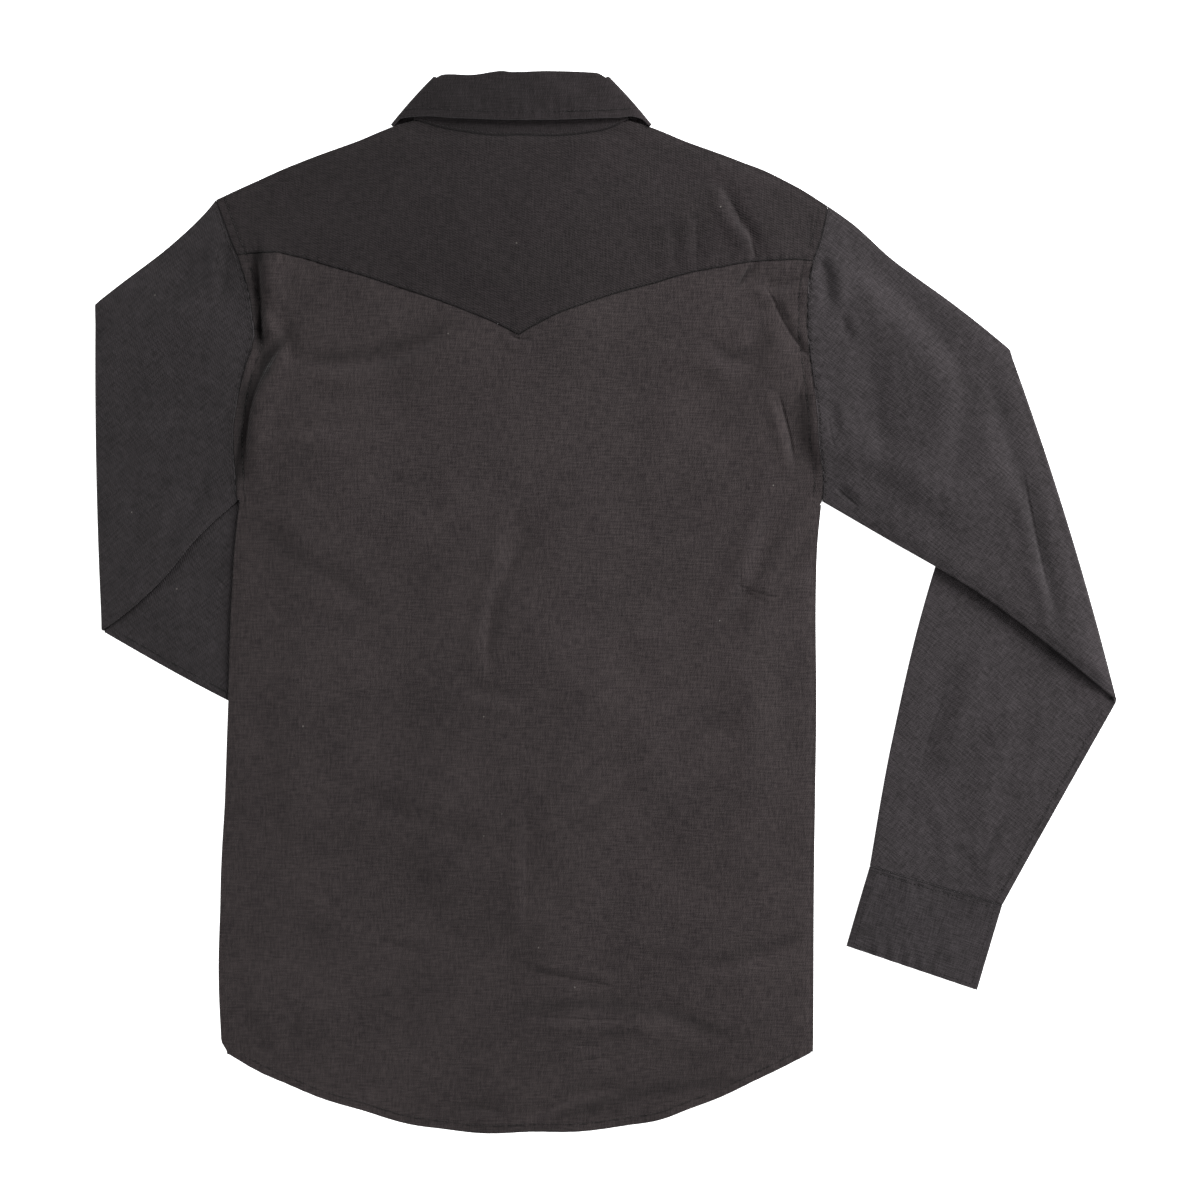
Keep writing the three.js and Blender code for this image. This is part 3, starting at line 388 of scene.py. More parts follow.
def forearm_height(u, v, which):
    height = 2 * LAYER * fade(outside(u, v, forearm_shape(which)), LIFT_MARGIN, LIFT_RAMP)
    if which == "left":
        cuff = LAYER + 2 * (CUFF_CLOTH - CLOTH)
        height = height + cuff * fade(outside(u, v, cuff_shape(which)), LIFT_MARGIN, LIFT_RAMP)
    return height


def beside_placket(u, v):
    return np.abs(u - placket_centre(v)) - PLACKET_HALF


def leaf_or_snap_height(u, v):
    leaf = fade(np.maximum(np.abs(u) - LEAF_HALF, -v - LEAF_DEEP), LIFT_MARGIN, LIFT_RAMP)
    snaps = fade(beside_placket(u, v), LIFT_MARGIN, LIFT_RAMP)
    return LAYER * np.maximum(leaf, snaps)


def ground(u, v):
    return forearm_height(u, v, "left") + leaf_or_snap_height(u, v)


def lap(u, v):
    return (LAYER + LAP_EASE) * fade(beside_placket(u, v), LIFT_MARGIN, LIFT_RAMP)


def folded_edges(which):
    """The line where upper and lower cloth meet, from the neck to the hem."""
    sleeve = SLEEVES[which]
    column = 1 if which == "left" else 2
    points = [(sleeve["outward"] * row[0], row[column]) for row in SHOULDER]
    points += sleeve["top"] + sleeve["low"][::-1]
    return points + [(row[column], row[0]) for row in SIDE[::-1]]


FOLDED = [folded_edges("left"), folded_edges("right")]


def edge_distance(u, v):
    return np.minimum(path_distance(u, v, FOLDED[0]), path_distance(u, v, FOLDED[1]))


def neck_distance(u, v):
    return np.hypot(np.maximum(np.abs(u) - NECK_SIDE, 0), np.minimum(v, 0))


# %% [markdown]
# ## Creases
# Cotton twill keeps every crease it was folded or worn with. A crease is a soft trough with a
# ridge of pushed-up cloth beside it, which often leans over the trough and hides its bottom in
# shade. A simulation would put creases anywhere, so these are listed one by one: each row gives a
# line to follow, the trough's depth and half width, the ridge's height, and how far it leans.
# A positive ridge stands to the left of the line's way, a negative one to its right.

# %% Creases of the back
# Places are read from straight above, in steps of the view: to the right, then downward.
# Columns: places along it, depth, half width on the ridge's side and on the other, ridge, lean
BACK_CREASES = (
    # The pleat beside the left armhole
    ([(254, 240), (257, 275), (259, 305), (260, 334), (263, 356)], 7.0, 6.5, 6, 3.2, 2.6),
    (
        [(290, 330), (273, 350), (258, 378), (249, 406), (245, 440), (241, 474), (237, 512)],
        7.0, 6, 6, 2.8, 2.4,
    ),
    ([(266, 282), (272, 306), (281, 326), (290, 350), (290, 378)], 2.2, 5, 6, -1.2, 0),
    # Under the yoke on the left
    (
        [(282, 356), (312, 361), (345, 363), (378, 359), (410, 349), (440, 331), (468, 314)],
        3.2, 8, 9, -2.2, 1,
    ),
    ([(270, 425), (320, 428), (375, 426), (438, 399)], 1.5, 7, 7, -1.0, 0),
    ([(238, 500), (287, 549), (327, 578), (392, 620)], 1.7, 8, 10, 1.0, 0),
    ([(246, 505), (266, 502), (288, 490)], 1.6, 4, 5, 1.0, 0),
    # Yoke's point and the right end of its seam
    ([(509, 334), (516, 340), (523, 341), (530, 337)], 1.6, 2, 2.5, -1.0, 0.5),
    ([(717, 170), (728, 196), (738, 218), (752, 238), (757, 266)], 3.2, 5, 7, -2.4, 2),
    ([(697, 205), (697, 274)], 1.4, 4.5, 5, -0.9, 0),
    ([(674, 214), (676, 280)], 1.0, 4, 5, -0.7, 0),
    ([(757, 262), (748, 274), (737, 287)], 2.2, 3, 4, -1.6, 0.5),
    ([(755, 274), (772, 286), (800, 279), (820, 266)], 2.8, 5, 7, -2.0, 1),
    # Below it, towards the right armhole
    ([(769, 290), (780, 311), (789, 331), (802, 349), (815, 363)], 1.7, 4, 7, 1.0, 0.5),
    ([(704, 336), (722, 353), (744, 361), (758, 350), (764, 330), (766, 312)], 3.0, 8, 10, -1.8, 0),
    ([(727, 381), (782, 378)], 1.0, 7, 7, -0.8, 0),
    ([(774, 386), (783, 420), (792, 452), (796, 482)], 2.8, 3.5, 15, -1.2, 0.5),
    ([(806, 370), (801, 410), (804, 440), (811, 468), (800, 494)], 2.6, 6, 8, 1.6, 0),
    (
        [(800, 484), (782, 506), (769, 530), (758, 562), (747, 592), (730, 622), (695, 657)],
        3.0, 8, 9, -2.0, 0,
    ),
    ([(733, 588), (774, 603)], 1.6, 5, 7, 1.2, 0),
    ([(822, 528), (800, 560), (772, 584)], 2.2, 6, 7, 1.4, 0),
    # Middle
    ([(524, 500), (512, 538), (501, 580)], 2.0, 6, 7, -1.6, 0),
    ([(546, 506), (515, 560), (496, 592), (488, 640), (486, 696)], 2.4, 5, 7, -1.8, 0.5),
    ([(484, 640), (484, 686)], -0.8, 2, 2, 0.1, 0),
    ([(458, 686), (490, 694), (532, 695)], 1.8, 6, 7, -1.0, 0),
    ([(527, 785), (527, 870), (525, 955)], 1.2, 5, 10, -0.8, 0),
    # Over the forearm that is folded under
    ([(318, 760), (370, 800), (420, 820), (475, 840), (534, 852)], 1.3, 11, 12, 0.8, 0),
    ([(522, 846), (577, 806), (623, 769), (684, 744), (733, 714), (741, 668)], 2.4, 12, 12, 1.8, 0),
    ([(636, 732), (680, 724), (722, 700)], 1.4, 6, 8, 1.2, 0),
    # Down to the hem
    ([(812, 928), (781, 951), (738, 963), (688, 969)], 2.0, 6, 7, 1.2, 0),
    ([(516, 968), (560, 975), (590, 982), (622, 990)], 1.8, 2.5, 4, 0.8, 0.5),
    ([(378, 940), (430, 952)], 1.2, 3, 4, 0.8, 0),
    ([(636, 953), (684, 958)], 1.2, 4, 5, 0.8, 0),
    (
        [(526, 1020), (560, 1008), (590, 1003), (631, 1005), (670, 1014), (700, 1028), (738, 1046)],
        2.4, 9, 10, -1.6, 0.5,
    ),
    ([(522, 1017), (575, 1022), (645, 1022)], 1.6, 2.5, 3.5, -1.0, 0.5),
    ([(574, 1046), (606, 1049)], 1.4, 3.5, 4, -0.9, 0),
    ([(574, 1062), (610, 1056)], 1.4, 3.5, 4, -0.9, 0),
    ([(505, 1119), (545, 1110), (580, 1095), (646, 1092)], 2.4, 5, 7, -1.6, 0.5),
    ([(456, 1104), (506, 1112)], 1.8, 5, 6, -1.2, 0),
    ([(232, 960), (245, 1010), (258, 1052)], 2.4, 8, 8, 1.4, 0),
    ([(284, 1056), (298, 1006)], 1.6, 6, 7, 1.0, 0),
    ([(262, 690), (270, 800), (284, 905)], 1.6, 14, 16, 1.0, 0),
    ([(790, 640), (786, 740), (792, 830)], 1.2, 14, 16, -1.0, 0),
    ([(330, 470), (420, 500), (480, 560)], 1.0, 16, 18, 0.8, 0),
    ([(600, 560), (660, 600), (690, 680)], 1.0, 16, 18, -0.8, 0),
)

# %% Creases of the sleeves
UPPER_ARM_CREASES = (
    # Left arm
    ([(214, 232), (194, 262), (180, 286), (160, 318)], 2.6, 8, 8, 1.5, 0),
    ([(224, 238), (226, 270), (223, 304)], 2.0, 5, 5, -1.2, 0),
    ([(214, 472), (182, 505), (168, 532), (162, 560)], 3.0, 6, 9, -1.8, 0),
    ([(240, 360), (200, 400), (140, 424)], 1.6, 14, 15, 1.2, 0),
    ([(238, 436), (190, 470), (130, 524)], 1.6, 14, 14, 1.2, 0),
    ([(120, 330), (128, 420), (118, 520)], 1.4, 12, 12, -1.0, 0),
    # Right arm
    ([(819, 254), (829, 280), (829, 310)], 2.8, 5, 6, 1.6, 0),
    ([(843, 312), (849, 340)], 1.8, 4, 5, 1.0, 0),
    ([(876, 334), (872, 390), (880, 430), (900, 470)], 2.6, 12, 13, 1.4, 0),
    (
        [(856, 222), (888, 276), (932, 318), (955, 350), (970, 395), (960, 440), (955, 490)],
        3.2, 12, 15, -2.0, 0,
    ),
    ([(982, 345), (1015, 445), (1036, 530)], 2.4, 10, 13, -1.6, 0),
    ([(1018, 455), (1034, 520), (1047, 580), (1060, 630), (1070, 668)], 4.0, 4.5, 8, -2.8, 2.5),
    ([(838, 484), (848, 496), (860, 506)], 3.4, 4, 4, 1.2, 0),
    ([(850, 450), (900, 500), (970, 545)], 1.6, 12, 12, 1.0, 0),
    ([(832, 400), (838, 440)], 1.4, 4, 4, 1.0, 0),
)
FOREARM_CREASES = (
    ([(970, 630), (950, 690), (913, 776)], 2.2, 9, 9, 1.6, 0),
    ([(1024, 832), (1026, 868)], 1.4, 6, 6, 0.6, 0),
    ([(900, 792), (928, 842), (922, 892)], 1.4, 9, 9, 1.0, 0),
    ([(952, 843), (977, 893)], 1.2, 8, 8, 0.9, 0),
    ([(1040, 700), (1010, 780), (990, 830)], 1.2, 10, 11, -0.9, 0),
)
# The side that lies on the floor: the cloth can only rise there, so each row is a ridge
FRONT_CREASES = (
    ([(280, 324), (344, 359), (400, 349)], -1.0, 12, 12, 0.1, 0),
    ([(273, 433), (331, 438), (407, 405)], -0.8, 10, 10, 0.1, 0),
    ([(268, 539), (331, 597), (400, 638)], -1.1, 12, 12, 0.1, 0),
    ([(293, 894), (369, 944), (432, 931)], -0.9, 12, 12, 0.1, 0),
    ([(280, 1020), (356, 1035)], -0.9, 10, 10, 0.1, 0),
    ([(635, 337), (698, 357), (762, 337)], -1.0, 12, 12, 0.1, 0),
    ([(627, 420), (698, 407), (769, 415)], -0.8, 10, 10, 0.1, 0),
    ([(660, 552), (724, 577), (769, 539)], -1.1, 12, 12, 0.1, 0),
    ([(597, 729), (673, 691), (736, 640)], -1.1, 13, 13, 0.1, 0),
    ([(597, 919), (673, 957), (749, 944)], -0.9, 12, 12, 0.1, 0),
    ([(610, 1020), (686, 1028), (749, 1007)], -1.0, 11, 11, 0.1, 0),
)

# %% What a table of creases does to the cloth
ENDS = 0.3
VIEW_STEP = 0.79
VIEW_NECK = (521, 134)


def in_view(places):
    """u and v of places that are given in steps of the view."""
    places = np.array(places, float)
    return np.stack([places[:, 0] - VIEW_NECK[0], VIEW_NECK[1] - places[:, 1]], -1) * VIEW_STEP


def beside(u, v, line):
    """Signed distance to a line, share of the way along it, and the direction to its left."""
    a, b = line[:-1], line[1:]
    step = b - a
    length = np.hypot(step[:, 0], step[:, 1])
    offset_u = u[:, None] - a[:, 0]
    offset_v = v[:, None] - a[:, 1]
    t = np.clip((offset_u * step[:, 0] + offset_v * step[:, 1]) / length**2, 0, 1)
    gap_u = offset_u - t * step[:, 0]
    gap_v = offset_v - t * step[:, 1]
    nearest = np.argmin(gap_u**2 + gap_v**2, axis=1)
    pick = (np.arange(len(u)), nearest)
    left = np.stack([-step[:, 1], step[:, 0]], axis=-1)[nearest] / length[nearest][:, None]
    turn = np.sign(gap_u[pick] * left[:, 0] + gap_v[pick] * left[:, 1])
    distance = np.hypot(gap_u[pick], gap_v[pick]) * np.where(turn == 0, 1, turn)
    along = (nearest + t[pick]) / len(step)
    return distance, along, left


def crease(u, v, table):
    """Height and sideways shift that a table of creases gives to places of the cloth."""
    height = np.zeros(u.shape)
    shift_u = np.zeros(u.shape)
    shift_v = np.zeros(u.shape)
    for places, depth, half, wide, ridge, lean in table:
        line = flow(in_view(places), 6 * len(places))
        reach = 4 * max(half, wide)
        (low_u, low_v), (high_u, high_v) = line.min(0) - reach, line.max(0) + reach
        near = (u > low_u) & (u < high_u) & (v > low_v) & (v < high_v)
        if not near.any():
            continue
        distance, along, left = beside(u[near], v[near], line)
        ends = smooth(along, 0, ENDS) * smooth(1 - along, 0, ENDS)
        facing = math.copysign(1, ridge)
        away = facing * distance
        trough = -depth * np.exp(-((away / np.where(away > 0, half, wide)) ** 2))
        bank = abs(ridge) * np.exp(-(((away - 1.7 * half) / (1.25 * half)) ** 2))
        height[near] += ends * (trough + bank)
        over = -facing * lean * ends * np.exp(-(((away - 1.1 * half) / half) ** 2))
        shift_u[near] += over * left[:, 0]
        shift_v[near] += over * left[:, 1]
    return height, shift_u, shift_v


# %% [markdown]
# ## Ripples and puckers
# Between its creases worn twill is never flat: it has broad, low waves. Beside a stitched seam it
# puckers, because the thread is shorter than the cloth. Both are sums of a few sine waves with
# seeded phases, so they come out the same each time.

# %% Ripples
seeded = np.random.default_rng(11)
RIPPLES = [
    (wave, *np.array([math.cos(turn), math.sin(turn)]) * 2 * math.pi / wave, phase)
    for wave, turn, phase in zip(
        seeded.uniform(34, 120, 14), seeded.uniform(0, math.pi, 14), seeded.uniform(0, 2 * math.pi, 14)
    )
]
RIPPLE_SHARE = 0.0021


def ripple(u, v):
    """Broad low waves, in proportion to their length."""
    waves = [wave * RIPPLE_SHARE * np.sin(ku * u + kv * v + phase) for wave, ku, kv, phase in RIPPLES]
    return np.sum(waves, axis=0)


def pucker(along, distance, pitch, height, reach=9.0):
    """Irregular short waves that run square to a seam and die out away from it."""
    wave = np.sin(2 * math.pi * along / pitch + 1.7 * np.sin(along / (2.3 * pitch)))
    slow = 0.65 + 0.35 * np.sin(along / (3.1 * pitch) + 1.0)
    return height * slow * wave * np.exp(-((distance / reach) ** 2))


TOPSTITCH = 7.0
STITCH_GROOVE = 0.5


def body_puckers(u, v):
    """Puckers along the yoke's seam, both armholes and the hem."""
    total = pucker(u, v - yoke_seam(u), 8.5, 0.34)
    in_hole = smooth(v, -300, -280)
    for which, sign in (("left", 1), ("right", -1)):
        inward = sign * (u - armhole[which](v))
        groove = STITCH_GROOVE * np.exp(-(((inward - TOPSTITCH) / 1.6) ** 2))
        total = total + in_hole * (pucker(v, inward - 4.0, 8.5, 0.5, 7.0) - groove)
    return total + pucker(u, v - hem(u) - 4.0, 11.0, 0.4)


# %% Surfaces of the body
OPEN_NEAR_EDGE = 12.0
FULL_LOFT = 4.6
ROLL = 1.5
ROLL_REACH = 5.0


def rise_over_fronts(u, v):
    """How far the fronts stand off what they lie on: only upward, and none at folded edges."""
    height, _, _ = crease(u, v, FRONT_CREASES)
    near = np.minimum(edge_distance(u, v), neck_distance(u, v))
    return np.maximum(height, 0) * (1 - fade(near, 0, LOFT_REACH))


def front_mid(u, v):
    return ground(u, v) + CLOTH / 2 + rise_over_fronts(u, v)


def front_right_mid(u, v):
    return front_mid(u, v) + lap(u, v)


def soft_floor(height, ease=0.6):
    """The height, but never below zero, with a soft turn there."""
    return (height + np.sqrt(height * height + ease * ease)) / 2


def loose(u, v):
    """0 at folded edges and at the neck, 1 where the cloth is free, and its rounded rise there."""
    edge = edge_distance(u, v)
    near = np.minimum(edge, neck_distance(u, v))
    rounded = ROLL * (1 - np.exp(-np.maximum(edge - INSET, 0) / ROLL_REACH)) * (1 - fade(near, 0, 6))
    return 1 - fade(near, 0, LOFT_REACH), 1 - fade(near, 0, OPEN_NEAR_EDGE), rounded


def upper_rise(u, v, table, sewn):
    """How far an upper cloth stands off the lower one, and the creases' lean."""
    far, near, rounded = loose(u, v)
    height, shift_u, shift_v = crease(u, v, table)
    above = FULL_LOFT * far + (height + ripple(u, v)) * blend(0.45, 1, far) * near + sewn * near
    rise = soft_floor(above) - 0.3 * (1 - near) + rounded
    return u + shift_u * near * far, v + shift_v * near * far, rise


def back_surface(u, v):
    """The upper cloth's middle: its place with the creases' lean, and its level."""
    shifted_u, shifted_v, rise = upper_rise(u, v, BACK_CREASES, body_puckers(u, v))
    return shifted_u, shifted_v, front_right_mid(u, v) + LAYER + rise


# %% [markdown]
# ## Cloth as a closed wall
# Every panel is a grid of places on the middle of the cloth. Half its thickness goes to each side,
# and the borders are closed, so the shell has the real cloth's edge. Blender's Solidify modifier
# would do much the same, but the borders here have to keep a hair's gap at each seam.

# %% Wall of cloth


def cloth_wall(name, grid, thick=CLOTH, keep=None, loop=False, grain=0.0):
    """A closed wall about a grid of u, v and z. keep marks its cells, loop joins its last column
    to the first, and grain is the weave's turn in degrees."""
    rows, columns = grid.shape[:2]
    width = columns if loop else columns - 1
    keep = np.ones((rows - 1, width), bool) if keep is None else keep
    beyond = (np.arange(width) + 1) % columns
    places = (grid - np.array([MIDDLE_U, MIDDLE_V, 0.0])) * MM
    a, b = places[:-1, :width], places[:-1][:, beyond]
    c, d = places[1:][:, beyond], places[1:, :width]
    facing = np.cross(c - a, d - b)
    facing /= np.maximum(np.linalg.norm(facing, axis=-1, keepdims=True), 1e-12)
    facing[~keep] = 0
    normal = np.zeros_like(places)
    normal[:-1, :width] += facing
    normal[:-1, beyond] += facing
    normal[1:, beyond] += facing
    normal[1:, :width] += facing
    normal /= np.maximum(np.linalg.norm(normal, axis=-1, keepdims=True), 1e-12)
    half_wall = normal * thick * MM / 2
    number = np.arange(rows * columns).reshape(rows, columns)
    under = rows * columns
    n = [number[:-1, :width], number[:-1][:, beyond], number[1:][:, beyond], number[1:, :width]]
    faces = [np.stack(n, -1)[keep], np.stack(n[::-1], -1)[keep] + under]
    cells = np.pad(keep, 1)
    if loop:
        cells[1:-1, 0], cells[1:-1, -1] = keep[:, -1], keep[:, 0]
    neighbours = {
        (0, 1): cells[:-2, 1:-1], (2, 3): cells[2:, 1:-1], (3, 0): cells[1:-1, :-2], (1, 2): cells[1:-1, 2:],
    }  # fmt: skip
    for (first, last), beside_cell in neighbours.items():
        border = keep & ~beside_cell
        p, q = n[first][border], n[last][border]
        faces.append(np.stack([q, p, p + under, q + under], -1))
    faces = np.vstack(faces)
    vertices = np.vstack([(places + half_wall).reshape(-1, 3), (places - half_wall).reshape(-1, 3)])
    turn = math.radians(grain)
    u, v = grid[..., 0].ravel() * MM, grid[..., 1].ravel() * MM
    weave = np.stack([u * math.cos(turn) + v * math.sin(turn), v * math.cos(turn) - u * math.sin(turn)], -1)
    weave = np.vstack([weave, weave])
    used, packed = np.unique(faces, return_inverse=True)
    packed = packed.reshape(faces.shape)
    mesh = bpy.data.meshes.new(name)
    mesh.from_pydata(vertices[used].tolist(), [], packed.tolist())
    layer = mesh.uv_layers.new(name="weave")
    layer.data.foreach_set("uv", weave[used][packed.ravel()].ravel())
    mesh.shade_smooth()
    mesh.set_sharp_from_angle(angle=math.radians(58))
    piece = bpy.data.objects.new(name, mesh)
    bpy.context.scene.collection.objects.link(piece)
    print(name, "faces:", len(faces))
    return piece


def shifted(line, distance):
    """A line moved to its left by a distance."""
    line = np.array(line, float)
    step = np.gradient(line, axis=0)
    left = np.stack([-step[:, 1], step[:, 0]], -1) / np.hypot(step[:, 0], step[:, 1])[:, None]
    return line + left * distance


def turn_points(low, high, out_u, out_v, steps):
    """Places round a turn from a lower to an upper place, without its two ends."""
    angle = np.pi * np.arange(1, steps) / steps
    shape = (steps - 1,) + (1,) * np.ndim(low[0])
    angle = angle.reshape(shape)
    radius = np.sqrt(sum((h - l) ** 2 for l, h in zip(low, high))) / 2
    share = (1 - np.cos(angle)) / 2
    bulge = radius * np.sin(angle)
    return (
        blend(low[0], high[0], share) + out_u * bulge,
        blend(low[1], high[1], share) + out_v * bulge,
        blend(low[2], high[2], share),
    )


def joined(*parts):
    """Rows of places, one after the other: each part is u, v and z, first axis along the row."""
    rows = [np.concatenate([np.atleast_2d(part[k]) for part in parts], axis=0) for k in range(3)]
    return np.stack(rows, -1)


# %% [markdown]
# ## Yoke
# On a western shirt the yoke is one piece that wraps over both shoulders and ends in a point at
# the centre back. Its grid starts on the front, turns over the shoulder and runs down the back.

# %% Yoke
ZONES = (66, 26, 26, 60)
NECK_FROM = ZONES[0]
NECK_TO = sum(ZONES[:3])
TURN_STEPS = 8
YOKE_FRONT_STEPS = 9
YOKE_TOP_STEPS = 50
FRONT_SEAM_V = -77.0
LEDGE = 0.3
CLOSE_AT_SIDES = 0.5


def across(anchors):
    """Places across the body, zone by zone between five anchors, closer together at the sides."""
    parts = []
    for i, steps in enumerate(ZONES):
        share = np.arange(steps) / steps
        if i == 0:
            share = CLOSE_AT_SIDES * share + (1 - CLOSE_AT_SIDES) * share**2
        if i == len(ZONES) - 1:
            share = (2 - CLOSE_AT_SIDES) * share - (1 - CLOSE_AT_SIDES) * share**2
        parts.append(blend(anchors[i], anchors[i + 1], share))
    return np.concatenate([*parts, [anchors[-1]]])


def at_armholes(u, v):
    """The two outermost columns follow the armholes."""
    u = u.copy()
    u[..., 0] = armhole["left"](v[..., 0]) + SEAM
    u[..., -1] = armhole["right"](v[..., -1]) - SEAM
    return u


yoke_top_u = across([-241.5, -NECK_SIDE, 0, NECK_SIDE, 243.5])
yoke_ends = armhole["left"](-95.0) + SEAM, armhole["right"](-100.0) - SEAM
seam_u = across([yoke_ends[0], -NECK_SIDE, YOKE_POINT[0], NECK_SIDE, yoke_ends[1]])
front_ends = armhole["left"](FRONT_SEAM_V) + SEAM, armhole["right"](FRONT_SEAM_V) - SEAM
front_seam_u = across([front_ends[0], -FRONT_NECK_SIDE, 0, FRONT_NECK_SIDE, front_ends[1]])
inner_neck = (np.arange(len(yoke_top_u)) > NECK_FROM) & (np.arange(len(yoke_top_u)) < NECK_TO)
yoke_top_v = np.where(inner_neck, back_neck(yoke_top_u) - SEAM, shoulder(yoke_top_u) - INSET)


def make_yoke():
    share = np.linspace(1, 0, YOKE_FRONT_STEPS + 1)[:, None]
    v = blend(yoke_top_v, shoulder(front_seam_u) - FRONT_YOKE, share)
    u = at_armholes(blend(yoke_top_u, front_seam_u, share), v)
    front = (u, v, front_mid(u, v))
    share = np.linspace(0, 1, YOKE_TOP_STEPS + 1)[:, None]
    v = blend(yoke_top_v, yoke_seam(seam_u) + SEAM, share)
    u = at_armholes(blend(yoke_top_u, seam_u, share), v)
    lip = LEDGE * np.exp(-(((v - yoke_seam(u)) / 7.0) ** 2))
    u, v, z = back_surface(u, v)
    back = (u, v, z + lip)
    low = tuple(part[-1] for part in front)
    high = tuple(part[0] for part in back)
    over = turn_points(low, high, 0.0, 1.0, TURN_STEPS)
    grid = joined(front, over, back).transpose(1, 0, 2)
    keep = np.ones((grid.shape[0] - 1, grid.shape[1] - 1), bool)
    keep[NECK_FROM:NECK_TO, : YOKE_FRONT_STEPS + TURN_STEPS] = False
    return cloth_wall("yoke_cloth", grid, keep=keep, grain=90)


yoke = make_yoke()

# %% [markdown]
# ## Back panel
# The back hangs from the yoke's seam, folds round both sides and ends on the underside, at the
# side seams. Its hem is turned up and curves. At the left armhole it is pushed into a deep pleat.

# %% Back panel
UNDERARM = 0.308
ARMHOLE_STEPS = 60
BODY_STEPS = 142
UNDER_STEPS = 10
HEM_ENDS = {"left": HEM[1][1], "right": HEM[-1][1]}


def back_end(which, share):
    """v of the back's side edge, from the yoke's seam down to the hem."""
    seam = seam_u[0] if which == "left" else seam_u[-1]
    return blend(yoke_seam(seam) - SEAM, HEM_ENDS[which], share)


def wrap_width(share):
    """How far the back folds round to the underside: it widens below the underarm."""
    rows = (share - UNDERARM) / (1 - UNDERARM) * 18
    return np.interp(rows, np.arange(len(SIDE_WRAP)), SIDE_WRAP)


back_shares = np.concatenate(
    [np.linspace(0, UNDERARM, ARMHOLE_STEPS, endpoint=False), np.linspace(UNDERARM, 1, BODY_STEPS + 1)]
)


def back_edge_u(which, v, sewn):
    sign = 1 if which == "left" else -1
    return np.where(sewn, armhole[which](v) + sign * SEAM, side[which](v) + sign * INSET)


def make_back():
    share = back_shares[:, None]
    sewn = back_shares < UNDERARM - 1e-9
    left_v, right_v = back_end("left", back_shares), back_end("right", back_shares)
    ends = back_edge_u("left", left_v, sewn), back_edge_u("right", right_v, sewn)
    count = len(back_shares)
    neck_side = np.full(count, NECK_SIDE)
    anchors = [ends[0], -neck_side, YOKE_POINT[0] * (1 - back_shares), neck_side, ends[1]]
    u = np.stack([across([a[i] for a in anchors]) for i in range(count)])
    v = blend(yoke_seam(seam_u) - SEAM, hem(u), share)
    v[:, 0], v[:, -1] = left_v, right_v
    tuck = LEDGE * np.exp(-(((v - yoke_seam(seam_u)) / 5.0) ** 2))
    ledge = 0.35 * (1 - smooth(v - hem(u), 6.0, 8.0))
    top_u, top_v, top_z = back_surface(u, v)
    top = (top_u.T, top_v.T, (top_z - 0.5 * tuck + ledge).T)
    parts = []
    for which, column, sign in (("left", 0, 1), ("right", -1, -1)):
        edge = tuple(part[column] for part in top)
        out = np.linspace(1, 0, UNDER_STEPS + 1)[:, None]
        under_u = edge[0] + sign * wrap_width(back_shares) * out
        under_v = np.broadcast_to(edge[1], under_u.shape)
        under = (under_u, under_v, front_mid(under_u, under_v))
        turn = turn_points(tuple(part[-1] for part in under), edge, -sign, 0.0, TURN_STEPS)
        parts.append((under, turn))
    (left_under, left_turn), (right_under, right_turn) = parts
    flip = lambda part: tuple(np.flip(p, axis=0) for p in part)
    grid = joined(left_under, left_turn, top, flip(right_turn), flip(right_under)).transpose(1, 0, 2)
    keep = np.ones((grid.shape[0] - 1, grid.shape[1] - 1), bool)
    under = UNDER_STEPS + TURN_STEPS
    keep[:ARMHOLE_STEPS, :under] = False
    keep[:ARMHOLE_STEPS, -under:] = False
    return cloth_wall("back_cloth", grid, keep=keep)


back = make_back()

# %% [markdown]
# ## Fronts and placket
# The fronts lie on the floor. The right one laps over the left at the placket, a strip of its own
# that carries the snaps. They show only from below, and are as finished as the back.

# %% Fronts
FRONT_ARMHOLE_STEPS = 46
FRONT_BODY_STEPS = 120
FRONT_ACROSS = 40
PLACKET_STEPS = 8

front_neck_table = np.vstack([[0, -79.5], COLLAR[:0:-1, :2]])
front_neck_curve = curve(front_neck_table)


def front_neck(u):
    return front_neck_curve(np.abs(u))


def front_hem(u):
    return hem(u) + HEM_INSET


def front_edge(which):
    """Height and place of a front's outer edge: down the armhole, then down the side seam."""
    sign = 1 if which == "left" else -1
    top = shoulder(front_seam_u[0 if which == "left" else -1]) - FRONT_YOKE - SEAM
    underarm = back_end(which, UNDERARM)
    shares = np.linspace(UNDERARM, 1, FRONT_BODY_STEPS + 1)
    in_hole = np.linspace(top, underarm, FRONT_ARMHOLE_STEPS, endpoint=False)
    below = back_end(which, shares)
    u_hole = armhole[which](in_hole) + sign * SEAM
    u_below = side[which](below) + sign * (INSET + wrap_width(shares) + 2 * SEAM)
    return np.concatenate([u_hole, u_below]), np.concatenate([in_hole, below])


